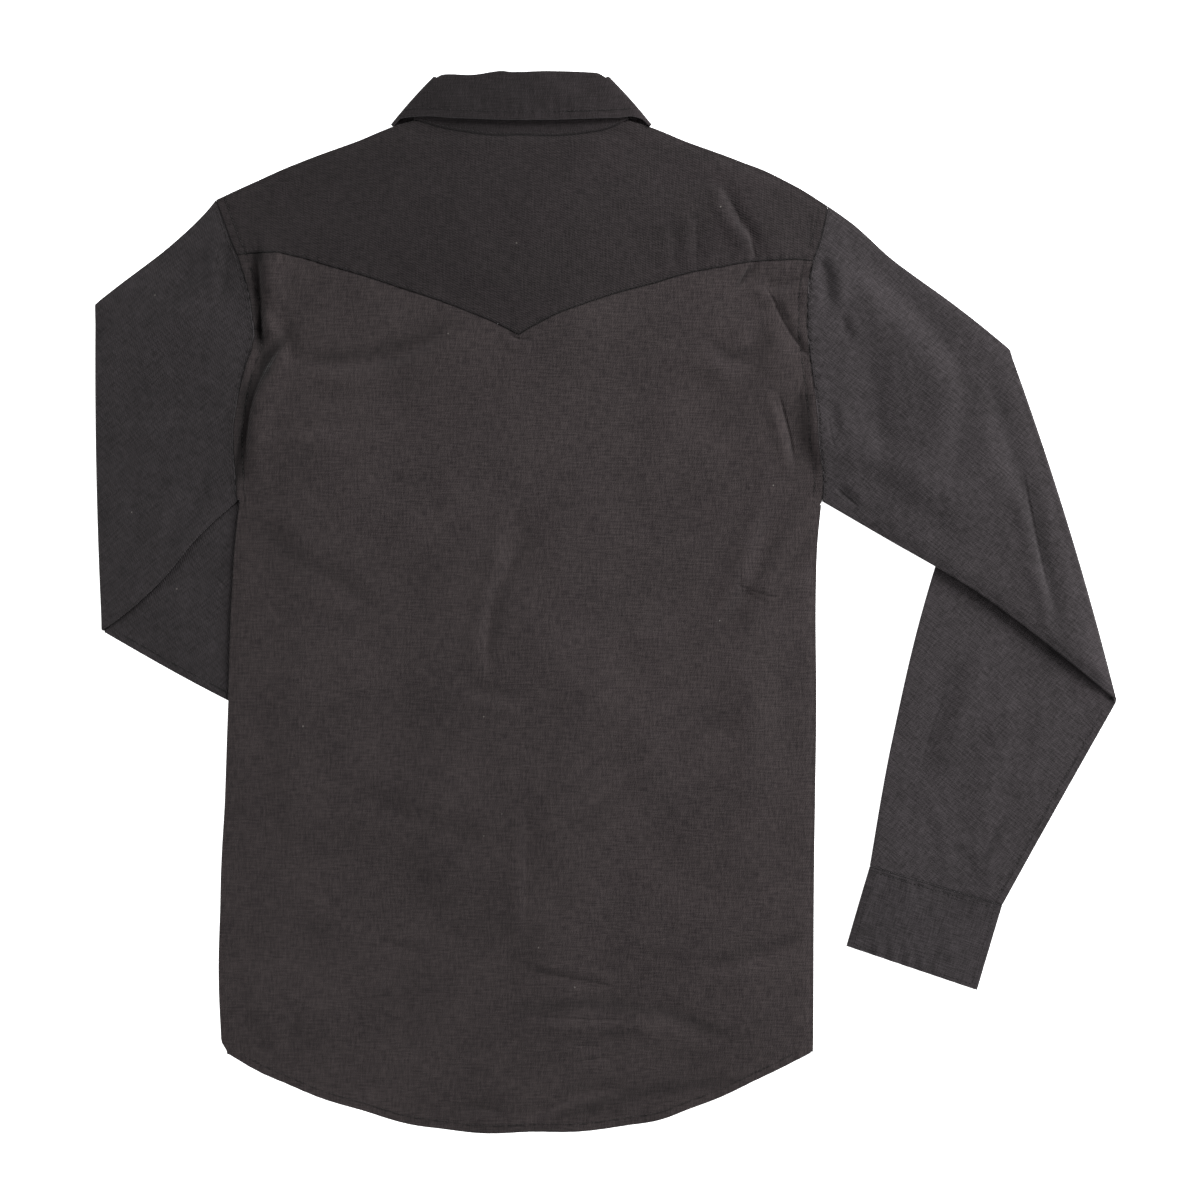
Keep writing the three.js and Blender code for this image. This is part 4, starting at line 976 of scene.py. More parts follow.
def make_front(which, middle, level, last_u, grain):
    sign = 1 if which == "left" else -1
    edge_u, edge_v = front_edge(which)
    share = ((edge_v - edge_v[0]) / (edge_v[-1] - edge_v[0]))[:, None]
    start = -sign * FRONT_NECK_SIDE
    outer_top = np.linspace(front_ends[0 if which == "left" else 1], start, FRONT_ACROSS + 1)
    outer_u = blend(edge_u[:, None], start, np.linspace(0, 1, FRONT_ACROSS + 1))
    outer_v = blend(shoulder(outer_top) - FRONT_YOKE - SEAM, front_hem(outer_u), share)
    outer_v[:, 0] = edge_v
    neck_u = np.linspace(start, last_u, 26)[1:]
    top_v = front_neck(neck_u) - SEAM
    guess = blend(top_v, front_hem(neck_u), share)
    inner_u = blend(start, middle(guess), (neck_u - start) / (last_u - start))
    inner_v = blend(top_v, front_hem(inner_u), share)
    u, v = np.hstack([outer_u, inner_u]), np.hstack([outer_v, inner_v])
    grid = np.stack([u, v, level(u, v)], -1)
    return cloth_wall("front_" + which + "_cloth", grid if sign > 0 else grid[:, ::-1], grain=grain)


def placket_edge(v, where):
    return placket_centre(v) + where * PLACKET_HALF


front_left = make_front("left", lambda v: placket_edge(v, -1) - SEAM, front_mid, -COLLAR[-1][0], 1.5)
front_right = make_front("right", lambda v: placket_edge(v, -1), front_right_mid, -PLACKET_HALF, -1.5)


def make_placket():
    share = np.linspace(0, 1, FRONT_ARMHOLE_STEPS + FRONT_BODY_STEPS)[:, None]
    where = np.linspace(-1, 1, PLACKET_STEPS + 1)
    top_v = front_neck(where * PLACKET_HALF) - SEAM
    guess = blend(top_v, front_hem(PLACKET_DRIFT), share)
    u = blend(placket_edge(guess, -1), placket_edge(guess, 1), (where + 1) / 2)
    v = blend(top_v, front_hem(u), share)
    return cloth_wall("placket_cloth", np.stack([u, v, front_mid(u, v)], -1))


placket = make_placket()

# %% [markdown]
# ## Sleeves and cuffs
# A sleeve is a tube. The left one is folded under the body with its whole forearm, the right one
# is folded just outside it, so its forearm and cuff show. Each ring of the tube's grid runs along
# the upper layer, turns, and comes back along the lower one.

# %% Sleeves
RING_UPPER = 98
EDGE_LIFT = 3.0
EDGE_LIFT_REACH = 24.0
ARM_TOP_V = -51.0
ARM_LOW_V = -290.0
ELBOW_BLEND = 0.995


def tube_ring(a, b, inset, place, out):
    """One ring between the ends of its rib. place gives a layer's u, v and z for shares along it."""
    length = math.hypot(b[0] - a[0], b[1] - a[1])
    share = np.linspace(inset / length, 1 - inset / length, RING_UPPER)
    upper = place(share, 1)
    lower = tuple(part[::-1] for part in place(share, -1))
    last, first = lambda part: tuple(p[-1] for p in part), lambda part: tuple(p[0] for p in part)
    far = turn_points(last(upper), first(lower), out[0], out[1], TURN_STEPS)
    near = turn_points(last(lower), first(upper), -out[0], -out[1], TURN_STEPS)
    ring = [np.concatenate([upper[k], far[k].ravel(), lower[k], near[k].ravel()]) for k in range(3)]
    return np.stack(ring, -1)


def rib_direction(a, b):
    length = math.hypot(b[0] - a[0], b[1] - a[1])
    return (b[0] - a[0]) / length, (b[1] - a[1]) / length


def upper_arm_level(which, u, v):
    """Level of the upper arm's lower cloth: it stands off the forearm along its lower edge."""
    sleeve = SLEEVES[which]
    start, end = sleeve["low"][0], sleeve["low"][-1]
    along = np.clip((u - start[0]) / (end[0] - start[0]), 0, 1)
    off = path_distance(u, v, sleeve["low"])
    open_part = smooth(along, 0.15, 0.5) * (1 - smooth(along, 0.85, 0.99))
    gape = EDGE_LIFT * open_part * np.exp(-((off / EDGE_LIFT_REACH) ** 2))
    above = leaf_or_snap_height(u, v) if which == "left" else 0.0
    return forearm_height(u, v, which) + above + CLOTH / 2 + gape


def upper_arm_surface(which, u, v):
    """The upper arm's upper cloth: its place with the creases' lean, and its level."""
    sewn = pucker(v, u - armhole[which](v), 8.6, 0.75, 7.0)
    shifted_u, shifted_v, rise = upper_rise(u, v, UPPER_ARM_CREASES, sewn)
    return shifted_u, shifted_v, upper_arm_level(which, u, v) + LAYER + rise


def upper_arm_rings(which, steps):
    sleeve = SLEEVES[which]
    t_all = ELBOW_BLEND * np.linspace(0, 1, steps + 1) ** 1.25
    tops, lows = flow(sleeve["top"], t_all), flow(sleeve["low"], t_all)
    rings = []
    for t, a, b in zip(t_all, tops, lows):

        def place(share, layer):
            u, v = blend(a[0], b[0], share), blend(a[1], b[1], share)
            hole = armhole[which](np.clip(v, ARM_LOW_V, ARM_TOP_V)) + sleeve["outward"] * SEAM
            ends = blend(sleeve["top"][0][0], sleeve["low"][0][0], share)
            u = u + (hole - ends) * (1 - t) ** 2
            return upper_arm_surface(which, u, v) if layer > 0 else (u, v, upper_arm_level(which, u, v))

        rings.append(tube_ring(a, b, INSET, place, rib_direction(a, b)))
    return rings


def fold_rings(which):
    sleeve = SLEEVES[which]
    a, b = sleeve["top"][-1], sleeve["low"][-1]
    along = rib_direction(a, b)
    out_u, out_v = -sleeve["outward"] * along[1], sleeve["outward"] * along[0]
    rings = []
    for angle in np.pi * np.arange(1, TURN_STEPS) / TURN_STEPS:

        def place(share, layer):
            radius = LAYER + layer * TURN
            bow = sleeve["fold_bow"] * 4 * share * (1 - share) - 2 * LAYER + radius * math.sin(angle)
            z = LAYER + CLOTH / 2 + TURN + radius * math.cos(angle)
            u, v = blend(a[0], b[0], share), blend(a[1], b[1], share)
            return u + out_u * bow, v + out_v * bow, np.full(share.shape, z)

        rings.append(tube_ring(a, b, INSET, place, along))
    return rings


def forearm_rings(which, steps):
    sleeve = SLEEVES[which]
    t_all = np.linspace(0.01, 0.9985, steps + 1)
    tops, lows = flow(sleeve["forearm_top"], t_all), flow(sleeve["forearm_low"], t_all)
    elbow = sleeve["low"][0], sleeve["low"][-1]
    rings = []
    for t, a, b in zip(t_all, tops, lows):

        def place(share, layer):
            u, v = blend(a[0], b[0], share), blend(a[1], b[1], share)
            floor_level = np.full(share.shape, LAYER * smooth(t, 0.72, 1) + CLOTH / 2)
            if layer > 0:
                return u, v, floor_level
            if which == "left":
                return u, v, floor_level + LAYER
            shown = v < blend(elbow[0][1], elbow[1][1], (u - elbow[0][0]) / (elbow[1][0] - elbow[0][0]))
            clear = np.where(shown, line_distance(u, v, *elbow), 0)
            low_edge = path_distance(u, v, sleeve["forearm_low"])
            edges = np.minimum(path_distance(u, v, sleeve["forearm_top"]), low_edge)
            soft = 1 - fade(np.minimum(np.minimum(edges, clear), 180 * (1 - t)), 12, 40)
            height, _, _ = crease(u, v, FOREARM_CREASES)
            near = 1 - fade(np.minimum(edges, clear), 2, 14)
            groove = STITCH_GROOVE * np.exp(-(((low_edge - TOPSTITCH) / 1.8) ** 2))
            sewn = (pucker(v, low_edge - 4.0, 8.5, 0.8, 7.0) - groove) * (1 - fade(low_edge, 1, 3))
            above = (FOREARM_LOFT + ripple(u, v)) * soft + height * near + sewn
            return u, v, floor_level + LAYER + soft_floor(above, 0.3) - 0.15 * (1 - near)

        rings.append(tube_ring(a, b, INSET, place, rib_direction(a, b)))
    return rings


last_rings = {}


def make_sleeve(which, upper_steps, forearm_steps, grain):
    rings = upper_arm_rings(which, upper_steps) + fold_rings(which) + forearm_rings(which, forearm_steps)
    last_rings[which] = rings[-1]
    return cloth_wall("sleeve_" + which + "_cloth", np.stack(rings), loop=True, grain=grain)


sleeve_left = make_sleeve("left", 34, 110, 42)
sleeve_right = make_sleeve("right", 62, 72, -40)

# %% Cuffs
CUFF_STEPS = 18
# Columns: depth in mm, place and half width as shares of the cuff's width
CUFF_DENTS = ((0.9, 0.12, 0.05), (0.7, 0.62, 0.04))


def make_cuff(which, grain):
    sleeve = SLEEVES[which]
    rings = []
    for t in np.linspace(0, 1, CUFF_STEPS + 1):
        a = blend(np.array(sleeve["forearm_top"][-1]), np.array(sleeve["cuff_end"][0]), t)
        b = blend(np.array(sleeve["forearm_low"][-1]), np.array(sleeve["cuff_end"][1]), t)

        def place(share, layer):
            u, v = blend(a[0], b[0], share), blend(a[1], b[1], share)
            level = np.full(share.shape, LAYER + CUFF_CLOTH / 2)
            if layer > 0:
                return u, v, level
            edge = np.minimum(t, 1 - t) * 66
            wave = pucker(u, edge - 5.0, 12.0, 0.9, 8.0)
            wave = wave + 0.5 * np.sin(u / 21.0 + v / 33.0) * smooth(edge, 0, 20)
            for depth, centre, width in CUFF_DENTS:
                wave = wave - depth * np.exp(-(((share - centre) / width) ** 2))
            rise = soft_floor(0.5 + wave, 0.3) if which == "right" else 0.0
            return u, v, level + CUFF_LAYER + rise * np.sin(np.pi * np.clip(share, 0, 1)) ** 0.5

        rings.append(tube_ring(a, b, (CUFF_LAYER + CUFF_CLOTH) / 2, place, rib_direction(a, b)))
    name = "cuff_" + which
    joint = np.stack([last_rings[which], rings[0]])
    seam = cloth_wall(name + "_seam", joint, thick=SEAM_CLOTH, loop=True)
    cuff = cloth_wall(name + "_cloth", np.stack(rings), thick=CUFF_CLOTH, loop=True, grain=grain)
    return cuff, seam


cuff_left, cuff_left_seam = make_cuff("left", 62)
cuff_right, cuff_right_seam = make_cuff("right", -18)

# %% [markdown]
# ## Inside the seams
# Two panels are never butted: their turned edges are sewn together under the seam. A narrow strip
# in the middle of both cloths stands for that, and closes the hair's gap between the shells.

# %% Seam strips
STRIP = 0.9


def seam_strip(name, line, first, second):
    """A strip along a seam, from one panel's surface on its left to the other's on its right."""
    sides = []
    for surface, distance in ((first, STRIP), (None, 0), (second, -STRIP)):
        edge = shifted(line, distance)
        if surface:
            sides.append(np.stack(surface(edge[:, 0], edge[:, 1]), -1))
    middle = (sides[0] + sides[1]) / 2
    return cloth_wall(name, np.stack([sides[0], middle, sides[1]], 1), thick=SEAM_CLOTH)


HOLE_TOP = {"left": -52.5, "right": -58.0}
HOLE_LOW = -289.0


def hole_line(which):
    v = np.linspace(HOLE_TOP[which], HOLE_LOW, 160)
    return np.stack([armhole[which](v), v], -1)


left_hole, right_hole = hole_line("left"), hole_line("right")
armhole_left_seam = seam_strip(
    "armhole_left_seam", left_hole, back_surface, lambda u, v: upper_arm_surface("left", u, v)
)
armhole_right_seam = seam_strip(
    "armhole_right_seam", right_hole, lambda u, v: upper_arm_surface("right", u, v), back_surface
)

# %% [markdown]
# ## Collar
# A shirt collar is two pieces: a stand sewn to the neck, and a leaf that rolls over it. Laid on
# its front, the back half of the collar shows its outside and the front half lies folded under.

# %% Collar
STAND_STEPS = 8
LEAF_STEPS = 14
LEAF_COLUMNS = 72
FRONT_ROWS = 34
FOLD_STEPS = 10


def collar_row(s):
    """The collar's table at a place between its rows, 0 at the side fold and 4 at the front."""
    i = min(int(s), len(COLLAR) - 2)
    before, a, b, after = (COLLAR[int(np.clip(k, 0, len(COLLAR) - 1))] for k in (i - 1, i, i + 1, i + 2))
    t = s - i
    bend = (2 * a - 2 * b + (b - before) / 2 + (after - a) / 2) * t**3
    bend = bend + (-3 * a + 3 * b - (b - before) - (after - a) / 2) * t**2 + (b - before) / 2 * t + a
    row = bend if i > 0 else blend(a, b, t)
    if s >= 1:
        row = row.copy()
        row[1] = front_neck(row[0])
    return row


def collar_stations():
    """Rows of the left half from the front to its side fold, with the turn that each has made."""
    fronts = [(collar_row(s), -1, math.pi) for s in np.linspace(4, 0, FRONT_ROWS, endpoint=False)]
    return fronts + [(collar_row(0), -1, turn) for turn in np.linspace(math.pi, 0, FOLD_STEPS + 1)]


def fold_outward(a, b, sign):
    length = math.hypot(b[0] - a[0], b[1] - a[1])
    return sign * abs(b[1] - a[1]) / length, abs(b[0] - a[0]) / length


def band_level(u, v, turn, leaf, sign):
    """Level of the stand's cloth, or of the leaf one layer outside it, through the side fold."""
    over = lap(u, v) if sign > 0 else 0.0
    low = CLOTH / 2 + (0 if leaf else LAYER + over)
    high = CLOTH / 2 + 2 * LAYER + lap(u, v) + (LAYER if leaf else 0)
    return blend(low, high, (1 + math.cos(turn)) / 2), (high - low) / 2 * math.sin(turn)


def stand_back_level(u, v):
    return u, v, band_level(u, v, 0, False, 1)[0]


def make_stand():
    t = np.linspace(0, 1, STAND_STEPS + 1)
    end = np.array([-PLACKET_HALF, -78, 1 - PLACKET_HALF, -50.5])
    centre = np.array([0, -79.5, 0, -51.5])
    overlap = [(blend(end, centre, s), -1, math.pi) for s in np.linspace(0, 1, 7)]
    first = COLLAR[-1][:4]
    overlap += [(blend(centre, first, s), -1, math.pi) for s in np.linspace(0, 1, 7)[1:-1]]
    left = overlap + collar_stations()

    def lay(station):
        row, sign, turn = station
        u, v = sign * blend(row[0], row[2], t), blend(row[1] + SEAM, row[3], t)
        level, bulge = band_level(u, v, turn, False, sign)
        out = fold_outward(row[2:4], row[:2], sign)
        return np.stack([u + out[0] * bulge, v + out[1] * bulge, level], -1)

    rows = [lay(station) for station in left]
    for u in yoke_top_u[NECK_FROM + 1 : NECK_TO]:
        place_u = u * blend(1, COLLAR[0][2] / NECK_SIDE, t)
        place_v = blend(back_neck(u) + SEAM, BAND_BACK_V, t)
        rows.append(np.stack([place_u, place_v, band_level(place_u, place_v, 0, False, 1)[0]], -1))
    rows += [lay((row, 1, turn)) for row, _, turn in left[::-1]]
    return cloth_wall("collar_stand_cloth", np.stack(rows), grain=4)


stand = make_stand()
neck_u = np.linspace(-81, 81, 120)
neck_line = np.stack([neck_u, back_neck(neck_u)], -1)
neck_seam = seam_strip("neck_seam", neck_line, stand_back_level, back_surface)

# %% Collar leaf
LEAF_LIFT = 2.4
SIDE_BOW = 0.6


def leaf_row(band, roll, edge, inner, outer):
    """Inside cloth from the band, the roll, then down to the outer edge."""
    start = blend(np.array(band), np.array(roll), 0.12)
    length = math.hypot(roll[0] - edge[0], roll[1] - edge[1])
    out = (roll[0] - edge[0]) / length, (roll[1] - edge[1]) / length
    low = (roll[0], roll[1], float(inner(*roll)))
    high = (roll[0], roll[1], float(outer(*roll)))
    turn = np.stack(turn_points(low, high, *out, TURN_STEPS), -1).reshape(-1, 3)
    t = np.linspace(0, 1, LEAF_STEPS + 1)[1:]
    bow = SIDE_BOW * np.sin(np.pi * t) * (abs(roll[0]) / COLLAR[0][4]) ** 8
    u = blend(roll[0], edge[0], t) + math.copysign(1, roll[0]) * bow
    v = blend(roll[1], edge[1], t) + bow
    down = np.stack([u, v, outer(u, v)], -1)
    return np.vstack([[start[0], start[1], float(inner(*start))], low, turn, high, down])


def leaf_front_row(station):
    row, sign, turn = station
    out = fold_outward(row[4:6], row[6:8], sign)
    level = lambda u, v, leaf: band_level(u, v, turn, leaf, sign)
    cloth = leaf_row(
        (sign * row[2], row[3]),
        (sign * row[4], row[5]),
        (sign * row[6], row[7]),
        lambda u, v: level(u, v, False)[0],
        lambda u, v: level(u, v, True)[0],
    )
    share = np.clip((np.arange(len(cloth)) - 1) / TURN_STEPS, 0, 1)
    inner_bulge = level(cloth[:, 0], cloth[:, 1], False)[1]
    outer_bulge = level(cloth[:, 0], cloth[:, 1], True)[1]
    off = blend(inner_bulge, outer_bulge, share)
    cloth[:, 0] += out[0] * off
    cloth[:, 1] += out[1] * off
    return cloth


def leaf_back_row(where):
    first = COLLAR[0]
    roll_u, edge_u = where * first[4], where * first[6]
    band = (where * first[2], blend(BAND_BACK_V, first[3], where**4))
    roll = (roll_u, float(roll_back(roll_u)))
    edge = (edge_u, float(leaf_edge(edge_u)))
    middle = 1 - where**4

    def outer(u, v):
        down = np.clip((roll[1] - v) / (roll[1] - edge[1]), 0, 1)
        base = band_level(u, v, 0, False, 1)[0] + LAYER
        swell = 1.1 * np.sin(np.pi * down) + LEAF_LIFT * down**3
        sewn = pucker(u, (1 - down) * 36 - 5.0, 10.5, 0.8, 11.0)
        wave = 0.8 * np.sin(u / 13.0 + 0.6) * (1 - down) + 0.5 * np.sin(u / 8.0 + v / 9.0)
        lift = swell + (sewn + wave) * np.sin(np.pi * np.clip(down, 0.15, 0.9))
        return base + middle * soft_floor(lift, 0.3)

    return leaf_row(band, roll, edge, lambda u, v: band_level(u, v, 0, False, 1)[0], outer)


def make_leaf():
    left = collar_stations()
    rows = [leaf_front_row(station) for station in left]
    rows += [leaf_back_row(where) for where in np.linspace(-1, 1, LEAF_COLUMNS + 1)[1:-1]]
    rows += [leaf_front_row((row, 1, turn)) for row, _, turn in left[::-1]]
    return cloth_wall("collar_leaf_cloth", np.stack(rows), grain=2)


leaf = make_leaf()

# %% [markdown]
# ## Thin lines and dark folds
# Some creases are too thin for the cloth's grid, so the material draws them as sharp lines. A deep
# fold is also darker than its shape alone makes it, since little light comes back out, so that shade
# is painted into the cloth's colour. Both are tables again, with one row a line or a fold.

# %% Sharp lines pressed or worn into the cloth
# Columns: start and end in steps of the view, bow to the right, half width and depth in mm
BACK_LINES = (
    ((285, 341), (262, 374), 1, 3.0, 0.72),
    ((751, 263), (736, 289), 0, 2.3, 0.72),
    ((770, 291), (815, 363), 4, 2.3, 0.72),
    ((764, 284), (778, 308), 0, 2.2, 0.5),
    ((777, 388), (795, 462), -1, 2.3, 0.72),
    ((804, 372), (800, 408), 1, 2.3, 0.39),
    ((514, 968), (624, 990), -1, 2.0, 0.44),
    ((518, 1015), (646, 1021), 1, 1.9, 0.39),
    ((570, 1046), (608, 1047), 0, 1.8, 0.33),
    ((570, 1063), (610, 1057), 0, 1.8, 0.33),
    ((484, 632), (484, 690), 0, 2.2, -0.33),
    ((508, 333), (532, 338), 3, 1.8, 0.55),
    ((527, 790), (526, 950), 0, 2.7, 0.28),
    ((741, 566), (742, 594), 1, 1.9, 0.39),
    ((735, 583), (750, 588), 1, 1.8, 0.33),
    ((750, 590), (780, 598), 1, 2.3, 0.39),
    ((455, 1104), (505, 1112), 0, 2.2, 0.39),
    ((548, 1112), (580, 1094), 0, 2.2, 0.39),
    ((700, 205), (698, 272), 0, 2.2, 0.33),
)
FRONT_LINES = (
    ((350, 300), (420, 330), 3, 2.2, 0.44),
    ((300, 560), (360, 620), -3, 2.3, 0.44),
    ((640, 300), (700, 340), 3, 2.2, 0.44),
    ((680, 500), (740, 470), -2, 2.2, 0.44),
    ((620, 900), (720, 930), 3, 2.2, 0.44),
    ((330, 960), (420, 975), -2, 2.2, 0.44),
)
SLEEVE_LINES = (
    ((953, 672), (920, 770), 1, 2.4, 0.44),
    ((1022, 462), (1050, 596), 1, 2.4, 0.55),
    ((836, 488), (860, 508), 0, 2.4, 0.66),
    ((222, 236), (214, 272), 1, 2.2, 0.39),
    ((214, 576), (230, 590), 1, 2.3, 0.66),
    ((828, 412), (836, 452), 1, 2.2, 0.44),
)
YOKE_LINES = (
    ((748, 228), (757, 262), 0, 2.4, 0.66),
    ((727, 196), (742, 224), -1, 2.4, 0.33),
    ((697, 212), (696, 270), 0, 2.2, 0.33),
    ((812, 214), (808, 248), 0, 2.0, 0.5),
)

# %% Painted shade in the folds
# Painted shade: the cloth's colour is darkened along deep folds and creases, where little light comes back
# out.
# Columns: start and end in steps of the view, bow to the right, half width in mm, share of darkening
BACK_SHADES = (
    ((253, 222), (257, 360), -2, 9.5, 0.5),
    ((241, 244), (243, 372), -4, 7.5, 0.5),
    ((244, 340), (231, 500), -1, 6.5, 0.42),
    ((258, 322), (268, 384), 0, 8.0, 0.45),
    ((292, 326), (244, 408), 3, 8.0, 0.5),
    ((246, 254), (282, 252), 0, 8.0, 0.3),
    ((250, 370), (234, 500), -2, 7.5, 0.5),
    ((282, 300), (292, 345), -2, 5.0, 0.15),
    ((296, 358), (462, 318), 9, 9.0, 0.2),
    ((704, 328), (766, 332), 20, 10.0, 0.25),
    ((770, 290), (814, 362), -1, 5.0, 0.18),
    ((754, 262), (735, 290), 0, 3.5, 0.45),
    ((764, 282), (806, 280), 2, 6.0, 0.15),
    ((806, 384), (800, 490), 2, 14.0, 0.25),
    ((804, 480), (752, 588), -4, 9.0, 0.16),
    ((750, 580), (694, 660), -3, 10.0, 0.12),
    ((822, 528), (772, 584), 0, 8.0, 0.12),
    ((238, 505), (335, 585), 3, 11.0, 0.15),
    ((540, 506), (488, 690), 8, 8.0, 0.1),
    ((524, 848), (742, 690), 12, 14.0, 0.12),
    ((496, 1014), (752, 1046), -18, 9.0, 0.34),
    ((538, 1122), (760, 1080), -7, 8.0, 0.36),
    ((452, 1106), (500, 1112), 0, 7.0, 0.25),
    ((700, 962), (818, 926), 4, 9.0, 0.16),
    ((596, 1034), (650, 1030), 0, 4.0, 0.18),
)
YOKE_SHADES = (
    ((728, 192), (754, 258), 1, 7.0, 0.16),
    ((675, 212), (676, 282), 0, 6.0, 0.12),
    ((697, 204), (697, 276), 0, 5.0, 0.12),
    ((812, 212), (807, 250), 0, 4.0, 0.2),
)
SLEEVE_SHADES = (
    ((214, 472), (164, 560), -5, 10.0, 0.2),
    ((224, 234), (223, 306), -2, 6.0, 0.2),
    ((825, 236), (830, 318), -4, 8.0, 0.22),
    ((862, 236), (958, 356), -8, 16.0, 0.2),
    ((966, 356), (956, 486), -9, 15.0, 0.14),
    ((985, 356), (1046, 576), -3, 13.0, 0.2),
    ((1034, 512), (1066, 662), -2, 8.0, 0.22),
    ((838, 486), (866, 512), 0, 7.0, 0.4),
    ((1040, 640), (1112, 690), 0, 12.0, 0.25),
    ((872, 880), (850, 942), 0, 7.0, 0.2),
    ((1010, 812), (984, 868), 0, 6.0, 0.25),
    ((876, 340), (896, 466), 8, 14.0, 0.1),
    ((968, 640), (914, 776), -2, 8.0, 0.12),
)

# %% [markdown]
# ## Values on the mesh
# Dozens of folds as shader nodes would be too much for one material. So each point of a mesh holds
# a few plain numbers, the painted shade of its folds and how near it is to a seam or a stitched edge,
# and the material reads them. Blender calls such a number a float attribute.

# %% Write the painted shade
DARKEST = 0.65
NEAR = 12.0


def places_of(piece):
    """Where a piece's points lie in the panels' own u and v."""
    found = np.empty(len(piece.data.vertices) * 3)
    piece.data.vertices.foreach_get("co", found)
    return found.reshape(-1, 3)[:, :2] / MM + (MIDDLE_U, MIDDLE_V)


def write(piece, name, values):
    piece.data.attributes.new(name, "FLOAT", "POINT").data.foreach_set("value", values)


def darken(piece, shades):
    """Write at each of a piece's points how much painted shade darkens the cloth there."""
    place = places_of(piece)
    total = np.zeros(len(place))
    for start, end, bow, half, share in shades:
        a, b = in_view([start, end])
        length = math.hypot(*(b - a))
        ahead = (b - a) / length
        off = place - (a + b) / 2
        square = (off @ ahead / (length / 2)) ** 2
        side = off @ (ahead[1], -ahead[0]) - bow * (1 - square)
        total += share * smooth(np.abs(side), half, 0) * smooth(square, 1, 0.2)
    write(piece, "shade", np.minimum(total, DARKEST))
    print(piece.name, "darkest:", round(float(min(total.max(), DARKEST)), 2))


def mark_seams(piece, name, *lines):
    """Write how near to some lines each point is, as 12 mm less its distance."""
    u, v = places_of(piece).T
    nearest = np.minimum.reduce([path_distance(u, v, line) for line in lines])
    write(piece, name, np.maximum(NEAR - nearest, 0))


# Painted shade of the folds, for the back, the yoke, the sleeves and the right cuff.
for piece, shades in (
    (back, BACK_SHADES), (yoke, YOKE_SHADES),
    (sleeve_left, SLEEVE_SHADES), (sleeve_right, SLEEVE_SHADES), (cuff_right, SLEEVE_SHADES),
):  # fmt: skip
    darken(piece, shades)

# %% [markdown]
# ## Twill
# The shirt is washed black cotton twill: a 2/1 weave of soft yarn, dyed and then worn to a warm
# charcoal. To the eye that is matt, with a faint diagonal rib, slubs where a yarn is thicker,
# slight mottling from washing, some lint, and a thin pale sheen of loose fibres at glancing
# angles. The shader is nearly all diffuse: a low specular level and a little sheen.

# %% Short ways to write the material's sums


def calc(tree, operation, *values):
    """The result of a sum on up to three values or sockets."""
    return add(tree, "ShaderNodeMath", dict(enumerate(values)), operation=operation).outputs[0]


def ranged(tree, value, low, high, top=1.0, bottom=0.0, soft=True):
    """A value from low to high, laid out from bottom to top and held there beyond them."""
    inputs = {"Value": value, "From Min": low, "From Max": high, "To Min": bottom, "To Max": top}
    kind = "SMOOTHSTEP" if soft else "LINEAR"
    return add(tree, "ShaderNodeMapRange", inputs, interpolation_type=kind).outputs[0]


def mixed(tree, share, first, second):
    """A colour between two others."""
    colours = {0: share, 6: first, 7: second}
    return add(tree, "ShaderNodeMix", colours, data_type="RGBA").outputs[2]


def noise(tree, scale, detail, **more):
    named = {"Scale": scale, "Detail": detail, **more}
    return add(tree, "ShaderNodeTexNoise", named).outputs[0]


def line_height(tree, place, lines):
    """Depth in mm of sharp lines at a place, soft at the sides and ends."""
    total = 0.0
    for start, end, bow, half, depth in lines:
        a, b = in_view([start, end])
        run = b - a
        length = math.hypot(*run)
        middle = (a + b) / 2 + np.array([run[1], -run[0]]) / length * bow - (MIDDLE_U, MIDDLE_V)
        inputs = {
            "Vector": place,
            "Location": (*middle * MM, 0),
            "Rotation": (0, 0, math.atan2(run[1], run[0])),
            "Scale": (length / 2 * MM, half * MM, 1),
        }
        along = add(tree, "ShaderNodeMapping", inputs, vector_type="TEXTURE")
        lies = add(tree, "ShaderNodeSeparateXYZ", {"Vector": along.outputs[0]})
        square = calc(tree, "MULTIPLY", lies.outputs[0], lies.outputs[0])
        off = calc(tree, "ABSOLUTE", calc(tree, "MULTIPLY_ADD", square, -bow / half, lies.outputs[1]))
        near = ranged(tree, off, 1.0, 0.0, depth)
        total = calc(tree, "MULTIPLY_ADD", near, ranged(tree, square, 1.0, 0.1), total)
    return total


# %% [markdown]
# The twill itself is read from the top of the function down: its rib and yarns, the wash, the painted
# shade from left to right, the painted shade of folds and seams, the lint, and last the bumps and the
# shader.

# %% Twill material
RIB_PITCH = 1.7 * MM  # a real rib is about 0.5 mm wide, too fine for the render, so it is coarser
RIB_TURN = math.radians(27)
WAVE_PER_UNIT = 2 * math.pi / 20
YARN_SCALE = 700.0
YARN_STRETCH = 0.14
LINT_PER_METRE = 70.0
# The painted shade from left to right ramps between these two x places, in metres: the cloth is painted
# darker to the left, away from the key light on the right.
SHADE_RAMP_LEFT, SHADE_RAMP_RIGHT = -0.16, 0.10


def yarn_tones(tree, weave):
    """Uneven yarn in both directions of the weave."""
    yarns = []
    for stretch in ((1.0, YARN_STRETCH, 1.0), (YARN_STRETCH, 1.0, 1.0)):
        along = add(tree, "ShaderNodeMapping", {"Vector": weave, "Scale": stretch})
        yarns.append(noise(tree, YARN_SCALE, 2.0, Vector=along.outputs[0], Roughness=0.6))
    return calc(tree, "ADD", *yarns)


